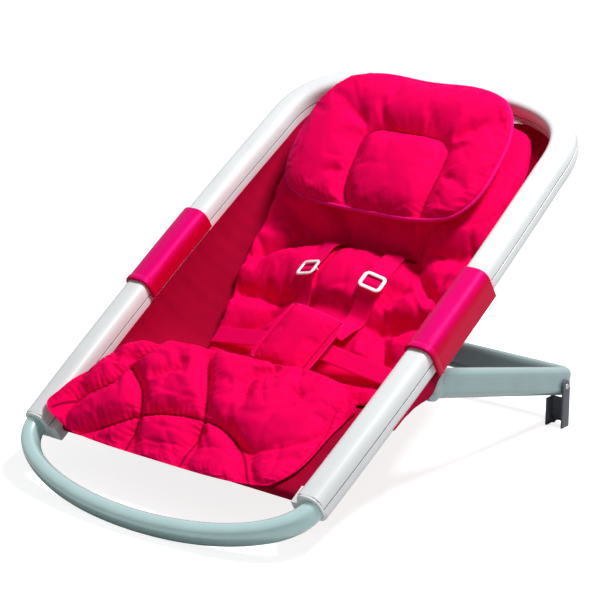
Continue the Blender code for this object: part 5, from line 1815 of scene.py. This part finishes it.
@dataclass
class LegPad(Cushion):
    """The wedge-shaped leg cushion with its curved sewn seams."""

    name: str = "leg_cushion"
    node: str = "leg_pad"
    columns: int = 92
    rows: int = 54
    fill: float = 0.8
    pressure: float = 9.0
    growth: float = 0.04
    cap: float = 0.010
    round_rim: float = 0.008
    detail: int = 2
    hem_pucker: float = 0.0006
    rumple: float = 0.0013
    seat: SeatCloth = field(default_factory=lambda: SeatCloth(FrameShape()))
    start: float = -0.0040
    end: float = 0.1640
    front_n: float = 0.0040
    crest: float = 0.0150
    tilt: float = 0.1100
    drop: float = 0.0180
    half_front: float = 0.1750
    half_back: float = 0.1520
    shift_front: float = -0.0180
    shift_back: float = -0.0050
    skew: float = 0.1200
    climb: float = 0.0300
    lift: float = 0.0016
    tip_reach: float = 0.0095
    tip_t: float = -0.76
    tip_run: float = 0.20

    def outline(self, s: Array, t: Array) -> Grids:
        """Return the (u, v) place of each share.

        Args:
            s: The shares across.
            t: The shares along.

        Returns:
            The places' u and v.
        """
        s, t = round_off(s, t, 0.22)
        share = (1.0 + t) / 2.0
        centre = self.shift_front * (1.0 - share) + self.shift_back * share
        half = self.half_front * (1.0 - share) + self.half_back * share
        v = (self.start + self.end) / 2.0 + (self.end - self.start) / 2.0 * t
        tip = self.tip_reach * np.exp(-((t - self.tip_t) / self.tip_run) ** 2) * np.maximum(-s, 0.0) ** 3
        return centre + s * (half - 0.001) - tip, v + self.skew * s * half * share

    def faces(self, shop: Workshop, grid: Spread) -> Grids:
        """Return the heights of the under and the upper face.

        Args:
            shop: The workshop; not used.
            grid: The cushion's grid.

        Returns:
            The two grids of heights.
        """
        s, t, u, v = grid
        rail = self.seat.shape
        bed = self.seat.top(u, np.maximum(v, self.seat.rod_v)) + self.lift
        inner = rail.half(np.maximum(v, 0.0)) - rail.width / 2.0 - 2.0 * self.lift
        over = smooth_step((np.abs(u) - inner + self.climb) / self.climb)
        low = bed * (1.0 - over) + (rail.height / 2.0 + self.lift) * over
        share = smooth_step(0.9 * (1.0 + t))
        crest = self.front_n + (self.crest - self.front_n) * share - self.tilt * u
        high = crest - self.drop * (1.0 - crown(s, t, 4.0))
        return low, np.maximum(high, low + 0.0070)


@dataclass
class HeadPillow(Cushion):
    """The head pillow, with a dip in its upper edge and a U-shaped sewn panel."""

    name: str = "head_cushion"
    node: str = "head_pillow"
    columns: int = 76
    rows: int = 52
    fill: float = 0.85
    pressure: float = 7.0
    growth: float = 0.02
    cap: float = 0.006
    round_rim: float = 0.012
    piping: float = 0.0025
    hem_pucker: float = 0.0011
    rumple: float = 0.0006
    start: float = 0.4140
    end: float = 0.6100
    shift: float = -0.0045
    half_width: float = 0.1480
    low_n: float = -0.0090
    high_n: float = 0.0370
    crown_height: float = 0.0140
    edge: float = 0.0060
    dip: float = 0.0055
    taper: float = 0.13
    corner: float = 0.27

    def outline(self, s: Array, t: Array) -> Grids:
        """Return the (u, v) place of each share.

        Args:
            s: The shares across.
            t: The shares along.

        Returns:
            The places' u and v.
        """
        s, t = round_off(s, t, self.corner)
        lost = np.where(t > 0.0, self.taper, self.taper / 2.0) * t * t
        dip = self.dip * np.exp(-(s / 0.45) ** 2) * np.maximum(t, 0.0)
        inset = self.piping + 0.0002
        v = (self.start + self.end) / 2.0 + ((self.end - self.start) / 2.0 - inset) * t - dip
        return self.shift + s * (self.half_width - inset) * (1.0 - lost), v

    def faces(self, shop: Workshop, grid: Spread) -> Grids:
        """Return the heights of the under and the upper face.

        Args:
            shop: The workshop.
            grid: The cushion's grid.

        Returns:
            The two grids of heights.
        """
        s, t, u, v = grid
        full = crown(s, t, 4.0)
        middle = self.low_n + (self.high_n - self.low_n) * (v - self.start) / (self.end - self.start)
        base = middle - self.edge / 2.0 - self.crown_height * full ** 2
        packed = shop.face_of(self.node, u, v, upper=False)
        low = np.fmax(base, packed)
        return low, np.maximum(middle + self.edge / 2.0 + self.crown_height * full, low + 0.0010)


@dataclass
class Bib(Cushion):
    """The square pad over the buckle, bound along its two sides."""

    name: str = "bib_cushion"
    node: str = "crotch_pad"
    columns: int = 36
    rows: int = 36
    fill: float = 0.6
    pressure: float = 4.0
    growth: float = 0.02
    cap: float = 0.003
    round_rim: float = 0.005
    piping: float = 0.0010
    width: float = 0.0900
    thickness: float = 0.0090
    v: float = 0.2370
    n: float = -0.0480
    lean: float = math.radians(6.0)
    turn: float = math.radians(-9.0)

    def outline(self, s: Array, t: Array) -> Grids:
        """Return the place of each share on the bib's own face.

        Args:
            s: The shares across.
            t: The shares along.

        Returns:
            The places' u and v.
        """
        s, t = round_off(s, t, 0.13)
        half = self.width / 2.0 - self.piping
        return s * half, t * half

    def faces(self, shop: Workshop, grid: Spread) -> Grids:
        """Return the heights of the under and the upper face."""
        return 0.0002 + 0.0 * grid.u, self.thickness * (0.35 + 0.65 * crown(grid.s, grid.t, 4.0))

    def lay(self, points: Array) -> Array:
        """Return the bib's own points as points of the rail plane.

        Args:
            points: An array whose last axis is the bib's own (x, y, z).

        Returns:
            The same array as (u, v, n).
        """
        x, y, z = points[..., 0], points[..., 1], points[..., 2]
        c, s = math.cos(self.turn), math.sin(self.turn)
        x, y = x * c - y * s, x * s + y * c
        v = y * math.cos(self.lean) - z * math.sin(self.lean)
        n = y * math.sin(self.lean) + z * math.cos(self.lean)
        return np.stack((x, v + self.v, n + self.n), axis=-1)


@dataclass
class Harness:
    """The straps, their sliders, the buckle and its button."""

    thickness: float = 0.0016
    shoulder_width: float = 0.0250
    waist_width: float = 0.0240
    shoulder_u: float = 0.0470
    join_u: float = 0.0345
    waist_v: tuple[float, float] = (0.2376, 0.2340)
    waist_u: tuple[float, float] = (0.0204, 0.1328)
    lean: float = math.radians(6.0)
    twist: float = math.radians(17.0)
    arch: float = 0.0015
    slot_v: float = 0.3990
    slider_half: tuple[float, float] = (0.0128, 0.0100)
    slider_corner: float = 0.0045
    slider_radius: float = 0.0024
    slider_flatness: float = 0.55
    slider_back: float = 0.0060
    slider_travel: Triple = (0.0, 0.0399, -0.0032)
    post_u: float = 0.0141
    post_radius: float = 0.0010
    post_bend: float = 0.0012
    shoulder_stations: tuple[float, ...] = (0.2585, 0.2760, 0.3000, 0.3320, 0.3390, 0.3600, 0.3780, 0.3840)
    waist_shares: tuple[float, ...] = (0.0, 0.12, 0.25, 0.35, 0.5, 0.7, 0.8, 0.9, 1.0)
    mouth: Seam = ((-0.0085, 0.0012), (-0.0040, 0.0030), (-0.0005, 0.0075), (0.0005, 0.0120))

    def centre_of(self, shop: Workshop, node: str, u: Array, v: Array) -> Array:
        """Return the middle of a packed strap at places of the rail plane, without those that miss it.

        Args:
            shop: The workshop.
            node: The strap's node.
            u: The places' u.
            v: The places' v.

        Returns:
            The points as (u, v, n).
        """
        n = (shop.face_of(node, u, v) + shop.face_of(node, u, v, upper=False)) / 2.0
        found = np.stack((u, v, n), axis=1)
        return found[~np.isnan(n)]

    def ribbon(self, shop: Workshop, node: str, centre: Array, axes: Array, width: float) -> None:
        """Lay a strap along a centre line.

        Args:
            shop: The workshop.
            node: The node that it replaces.
            centre: The points of the centre line in the rail plane.
            axes: The direction of the strap's width, once or at each point.
            width: The strap's width.
        """
        axes = np.broadcast_to(axes, centre.shape)
        line = flowing(tuple(map(tuple, np.concatenate((centre, axes), axis=1))), 0.0020)
        centre, axes = line[:, :3], line[:, 3:] / np.linalg.norm(line[:, 3:], axis=1, keepdims=True)
        normal = np.cross(axes, np.gradient(centre, axis=0))
        normal /= np.linalg.norm(normal, axis=1)[:, None]
        shape = ring_of(width, self.thickness, 7.0, 36)
        rings = centre[:, None] + shape[None, :, :1] * axes[:, None] + shape[None, :, 1:] * normal[:, None]
        strap = shop.sweep(node + "_webbing", PLANE.world(rings), shop.palette[Slot.STRAP],
                           girth_as=2.0 * self.shoulder_width)
        shop.fit(strap, node)
        shop.remember(strap.name, strap)

    def shoulder(self, shop: Workshop, side: str) -> None:
        """Lay one shoulder strap; its outer edge lies low, and it arches into its slot.

        Args:
            shop: The workshop.
            side: Left or right.
        """
        sign, node = SIDES[side], "shoulder_strap_" + side
        v = np.array(self.shoulder_stations)
        wide = self.join_u, (self.shoulder_u + self.join_u) / 2.0, self.shoulder_u
        u = sign * np.interp(v, (0.2520, 0.3000, 0.3320), wide)
        run = self.centre_of(shop, node, u, v)
        last = run[-1]
        mouth = [(last[0], self.slot_v + ahead, last[2] - drop) for ahead, drop in self.mouth]
        run = np.concatenate((run, mouth))
        turn = self.twist_at(run[:, 1])
        run[:, 2] += self.shoulder_width / 2.0 * np.sin(turn)
        run[:, 2] += self.arch * np.exp(-((run[:, 1] - self.slot_v + 0.010) / 0.006) ** 2)
        axes = np.stack((np.cos(turn), 0.0 * turn, -sign * np.sin(turn)), axis=1)
        self.ribbon(shop, node, run, axes, self.shoulder_width)

    def twist_at(self, v: Array) -> Array:
        """Return how far a shoulder strap leans outward at a station."""
        return self.twist * smooth_step((v - 0.230) / 0.040) * smooth_step((self.slot_v - 0.004 - v) / 0.018)

    def slider(self, shop: Workshop, side: str) -> None:
        """Build one slider: a rounded ring over the strap, and a bar that passes under it.

        Args:
            shop: The workshop.
            side: Left or right.
        """
        sign = SIDES[side]
        node = "strap_slider_" + side
        low, high = (PLANE.local(np.array(tuple(corner), dtype=float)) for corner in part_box(node))
        at = (low + high)[:2] / 2.0 - (0.0, self.slider_back)
        v = np.array((at[1] - 0.008, at[1], at[1] + 0.008))
        strap = self.centre_of(shop, "shoulder_strap_" + side, np.full(3, sign * self.shoulder_u), v)
        turn = float(self.twist_at(np.array(at[1])))
        along = (strap[2] - strap[0]) / np.linalg.norm(strap[2] - strap[0])
        wide = np.array((math.cos(turn), 0.0, -sign * math.sin(turn)))
        wide -= along * (wide @ along)
        wide /= np.linalg.norm(wide)
        normal = np.cross(wide, along)
        centre = strap[1] + (0.0, 0.0, self.shoulder_width / 2.0 * math.sin(turn))
        over = self.thickness / 2.0 + HAIR + self.slider_radius * self.slider_flatness
        parts = []
        for path, radius, up, closed, flatness in (
                (self.ring_path(over), self.slider_radius, normal, True, self.slider_flatness),
                (self.bar_path(over), self.post_radius, along, False, 1.0)):
            name = node + ("_ring" if closed else "_bar")
            places = centre + path[:, :1] * wide + path[:, 1:2] * along + path[:, 2:] * normal
            up = PLANE.world(up) - PLANE.world(np.zeros(3))
            parts.append(shop.tube(name, PLANE.world(places), radius, shop.palette[Slot.SLIDER], closed, 16,
                                   up, flatness))
        ring = self.joined(*parts)
        shop.fit(ring, node)
        shop.remember(ring.name, ring, np.linspace(0.0, 1.0, 17)[:, None] * np.array(self.slider_travel))

    def ring_path(self, over: float) -> Array:
        """Return the centre line of a slider's ring.

        Args:
            over: Its height over the strap's middle.

        Returns:
            The points across, along and square to the strap.
        """
        half, corner = self.slider_half, self.slider_corner
        loop = []
        for x, y, start in ((1, 1, 0), (-1, 1, 90), (-1, -1, 180), (1, -1, 270)):
            for angle in np.radians(start + np.linspace(0.0, 90.0, 9)):
                loop.append((x * (half[0] - corner) + corner * math.cos(angle),
                             y * (half[1] - corner) + corner * math.sin(angle), over))
        return evenly(loop + loop[:1], 73)[:-1]

    def bar_path(self, over: float) -> Array:
        """Return the centre line of a slider's bar, which hangs from the ring and passes under the strap.

        Args:
            over: The ring's height over the strap's middle.

        Returns:
            The points across, along and square to the strap.
        """
        under = -self.thickness / 2.0 - HAIR - self.post_radius
        bar = []
        for x in (-1.0, 1.0):
            bend = [(x * (self.post_u - self.post_bend * (1.0 - math.sin(a))), 0.0,
                     under + self.post_bend * (1.0 - math.cos(a)))
                    for a in np.linspace(0.0, math.pi / 2.0, 5)]
            post = [(x * self.post_u, 0.0, over)]
            bar += post + bend[::-1] if x < 0.0 else bend + post
        return evenly(bar, 60)

    @staticmethod
    def joined(first: Piece, second: Piece) -> Piece:
        """Join two pieces into the first.

        Args:
            first: The piece that is kept.
            second: The piece that goes into it.

        Returns:
            The first piece.
        """
        bm = bmesh.new()
        bm.from_mesh(first.data)
        bm.from_mesh(second.data)
        bm.to_mesh(first.data)
        bm.free()
        bpy.data.objects.remove(second, do_unlink=True)
        return first

    def build(self, shop: Workshop) -> None:
        """Build the straps and refine the hard pieces.

        Args:
            shop: The workshop.
        """
        axis = np.array((0.0, math.cos(self.lean), math.sin(self.lean)))
        share = np.array(self.waist_shares)
        for side, sign in SIDES.items():
            self.shoulder(shop, side)
            u = sign * (self.waist_u[0] + (self.waist_u[1] - self.waist_u[0]) * share)
            v = self.waist_v[0] + (self.waist_v[1] - self.waist_v[0]) * share
            node = "waist_strap_" + side
            self.ribbon(shop, node, self.centre_of(shop, node, u, v), axis, self.waist_width)
            self.slider(shop, side)
        shop.refined("crotch_strap", Slot.STRAP, 0.0003)
        shop.refined("buckle_body", Slot.BUCKLE, 0.0008)
        shop.refined("buckle_button", Slot.BUTTON, 0.0005)


# Each fold's (u, v) points in tenths of a millimetre, then its depth, width, valley, reach,
# pucker, painted shade and fade. The points of the lines below are in tenths of a millimetre too.
BACK_FOLDS = (
    (((-1509, 3497), (-1260, 3698), (-1074, 3851), (-821, 3965), (-627, 3990)),
     0.0034, 0.0024, 0.0085, 0.014, 0.001, 0.8, 0.02),
    (((-1195, 4154), (-984, 4082), (-700, 4000)), 0.0026, 0.0024, 0.0055, 0.011, 0.0006, 0.5, 0.014),
    (((-621, 4330), (-487, 4237), (-330, 4040)), 0.0026, 0.0022, 0.006, 0.01, 0.0006, 0.5, 0.012),
    (((-320, 3990), (-141, 4015), (70, 4010), (320, 3990)), 0.0026, 0.0022, 0.006, 0.011, 0.0006, 0.6, 0.0),
    (((-1472, 3009), (-1178, 3059), (-921, 3043), (-650, 3060)),
     0.003, 0.0024, 0.007, 0.013, 0.0008, 0.6, 0.022),
    (((-1120, 2440), (-965, 2579), (-863, 2748), (-720, 2911)),
     0.0026, 0.0024, 0.006, 0.012, 0.0006, 0.6, 0.015),
    (((640, 3990), (711, 3915), (970, 3645), (1144, 3525), (1380, 3400)),
     0.003, 0.0024, 0.008, 0.012, 0.0008, 0.7, 0.016),
    (((660, 4000), (715, 4144), (749, 4236), (815, 4343)), 0.0024, 0.0022, 0.005, 0.01, 0.0005, 0.5, 0.012),
    (((741, 3838), (798, 3623), (726, 3403), (625, 3234)), 0.002, 0.003, 0.005, 0.011, 0.0004, 0.4, 0.014),
    (((1430, 3060), (1180, 3120), (900, 3010), (760, 2860)),
     0.0024, 0.0024, 0.006, 0.012, 0.0006, 0.5, 0.018),
    (((652, 2829), (744, 2955), (1003, 2596), (1120, 2460)),
     0.0024, 0.0022, 0.006, 0.011, 0.0006, 0.5, 0.015),
    # The two strap slots, with the deepest painted shade inside them.
    (((-620, 3990), (-320, 3990)), 0.011, 0.0028, 0.004, 0.008, 0.0, 1.0),
    (((320, 3990), (620, 3990)), 0.011, 0.0028, 0.004, 0.008, 0.0, 1.0),
)
LEG_SEAMS = (
    ((-1770, 130), (-1595, 451), (-1349, 703), (-1265, 998)),
    ((-1265, 998), (-955, 782), (-817, 620), (-728, 415), (-622, -40)),
    ((-1348, 14), (-1024, 236), (-738, 432), (-410, 571), (40, 646), (403, 596), (759, 385), (1112, 11)),
    ((-420, 1420), (-375, 1324), (-158, 1016), (31, 659), (83, 451), (167, -40)),
    ((-1139, 1350), (-1291, 1042), (-1265, 998)),
)
LEG_TUCKS = (
    ((-708, 1266), (-629, 1141), (-930, 839)), ((520, 1609), (284, 1298), (400, 964)),
    ((928, 1419), (866, 1194)), ((-1513, 971), (-1305, 1020)),
)
LEG_EDGE = ((1374, 1386), (1470, 794), (1464, 212), (1208, 29))
PILLOW_PANEL = (
    (-340, 4230), (-450, 4430), (-520, 4960), (-500, 5140), (-390, 5230),
    (-120, 5250), (480, 5250), (650, 5160), (720, 5060), (740, 4650), (730, 4240),
)
PILLOW_TUCKS = (
    ((700, 5180), (830, 5330), (980, 5480)), ((300, 5270), (300, 5420)),
    ((-480, 5190), (-660, 5310), (-840, 5380)), ((-330, 5270), (-390, 5420)),
    ((760, 4760), (980, 4700)), ((-500, 4600), (-760, 4520)),
)


def sewn(points: Sequence[tuple[int, int]], *sizes: float) -> Crease:
    """Return a crease whose points are given in tenths of a millimetre."""
    return Crease(tuple((u / 10000, v / 10000) for u, v in points), *sizes)


@dataclass
class Seat:
    """The cloth, the three cushions and the bib."""

    shape: FrameShape

    def back_pad(self, cloth: SeatCloth) -> BackPad:
        """Return the back cushion with the folds that its seams and straps draw.

        Args:
            cloth: The seat's cloth.

        Returns:
            The cushion.
        """
        folds = tuple(sewn(*fold) for fold in BACK_FOLDS)
        quiet = [Quiet(((0.0, 0.200), (0.0, 0.265)), 0.050), Quiet(((-0.13, 0.53), (0.13, 0.53)), 0.090)]
        for sign in SIDES.values():
            quiet.append(Quiet(((sign * 0.03, 0.237), (sign * 0.135, 0.234)), 0.015))
        lids = ["head_cushion", "crotch_strap", "buckle_body", "crotch_pad"]
        for side in SIDES:
            lids += ["shoulder_strap_" + side + "_webbing", "waist_strap_" + side + "_webbing",
                     "strap_slider_" + side + "_ring"]
        return BackPad(creases=folds, quiet=tuple(quiet), lids=tuple(lids), seat=cloth)

    def leg_pad(self, cloth: SeatCloth) -> LegPad:
        """Return the leg cushion with its seams.

        Args:
            cloth: The seat's cloth.

        Returns:
            The cushion.
        """
        creases = [sewn(seam, 0.0040, 0.0026, 0.0060, 0.0115, 0.0015, 1.0) for seam in LEG_SEAMS]
        creases += [sewn(tuck, 0.0016, 0.0026, 0.0034, 0.0090, 0.0006, 0.35, 0.015) for tuck in LEG_TUCKS]
        creases.append(sewn(LEG_EDGE, 0.0018, 0.0018, 0.0012, 0.0060, 0.0004, 0.7, 0.010))
        return LegPad(creases=tuple(creases), seat=cloth)

    def pillow(self) -> HeadPillow:
        """Return the head pillow with its U-shaped panel.

        Returns:
            The cushion.
        """
        panel = sewn(PILLOW_PANEL, 0.0034, 0.0024, 0.0060, 0.0120, 0.0013, 1.0)
        tucks = (sewn(tuck, 0.0018, 0.0030, 0.0040, 0.0090, 0.0004, 0.3, 0.014) for tuck in PILLOW_TUCKS)
        return HeadPillow(creases=(panel, *tucks))

    def bib(self) -> Bib:
        """Return the bib with the sewn inner edge of its bindings."""
        lines = [((x, -0.0420), (x * 1.02, 0.0), (x, 0.0420)) for x in (-0.0365, 0.0365)]
        return Bib(creases=tuple(Crease(line, 0.0014, 0.0013, 0.0016, 0.0040, 0.0003, 0.9) for line in lines))

    def build(self, shop: Workshop) -> None:
        """Build every soft piece.

        Args:
            shop: The workshop.
        """
        cloth = SeatCloth(self.shape)
        cloth.build(shop)
        for cushion in (self.pillow(), self.bib(), self.back_pad(cloth), self.leg_pad(cloth)):
            cushion.build(shop)


@dataclass
class Studio:
    """The pale floor, the white world, the soft lamp and the camera."""

    azimuth: float = 37.9226
    elevation: float = 17.6695
    place: Triple = (1.4493, -1.8644, 0.9336)
    lens: float = 128.0427
    sensor: float = 36.0
    ambient: float = 0.17
    floor_half: float = 12.0
    floor_grey: float = 0.62
    floor_glow: float = 0.82
    lamp_place: Triple = (0.88, 0.45, 2.2)
    lamp_size: float = 0.55
    lamp_power: float = 68.0

    def world(self) -> None:
        """Make a world that is white to look at and softer as a light."""
        graph = Graph("white room", world=True)
        camera = graph.node("ShaderNodeLightPath")
        glossy = Signal(graph, camera.socket.node.outputs["Is Glossy Ray"])
        seen = graph.node("ShaderNodeMath", {"operation": "MAXIMUM"}, [camera, glossy])
        level = graph.node("ShaderNodeMapRange", inputs={"Value": seen, "To Min": self.ambient})
        bpy.context.scene.world = graph.dress(Color=(1.0, 1.0, 1.0, 1.0), Strength=level)

    def floor(self) -> None:
        """Lay a pale floor that keeps a faint shadow."""
        mesh = bpy.data.meshes.new("floor")
        far = self.floor_half
        corners = [(-far, -far, 0.0), (far, -far, 0.0), (far, far, 0.0), (-far, far, 0.0)]
        mesh.from_pydata(corners, [], [(0, 1, 2, 3)])
        floor = stand("floor", mesh)
        graph = Graph("pale floor")
        rays = graph.node("ShaderNodeLightPath")
        mesh.materials.append(graph.dress(Base_Color=(*(self.floor_grey,) * 3, 1.0), Roughness=0.9,
                                          Specular_IOR_Level=0.0, Emission_Color=(1.0, 1.0, 1.0, 1.0),
                                          Emission_Strength=rays * self.floor_glow))

    def lamp(self) -> None:
        """Hang a soft square lamp that points at the bouncer."""
        data = bpy.data.lights.new("overhead", "AREA")
        data.size = self.lamp_size
        data.energy = self.lamp_power
        lamp = stand("overhead", data)
        lamp.location = self.lamp_place
        ahead = Vector((0.0, 0.0, 0.15)) - Vector(self.lamp_place)
        lamp.rotation_euler = ahead.to_track_quat("-Z", "Y").to_euler()

    def camera(self) -> None:
        """Set the camera up."""
        data = bpy.data.cameras.new("photograph")
        data.lens = self.lens
        data.sensor_width = self.sensor
        camera = stand("photograph", data)
        camera.location = self.place
        camera.rotation_euler = (math.radians(90.0 - self.elevation), 0.0, math.radians(self.azimuth))
        bpy.context.scene.camera = camera

    def build(self) -> None:
        """Set the whole studio up."""
        bpy.context.scene.view_settings.view_transform = "Standard"
        self.world()
        self.floor()
        self.lamp()
        self.camera()


def main() -> None:
    """Build the studio and then every sub-assembly of the bouncer."""
    logging.basicConfig(level=logging.INFO, format="%(name)s: %(message)s")
    shape = FrameShape()
    shop = Workshop(Palette())
    Studio().build()
    FrameShells(shape).build(shop)
    FrontBow().build(shop)
    HingeSleeves(shape).build(shop)
    RearLeg().build(shop)
    Harness().build(shop)
    Seat(shape).build(shop)


if __name__ == "__main__":
    main()
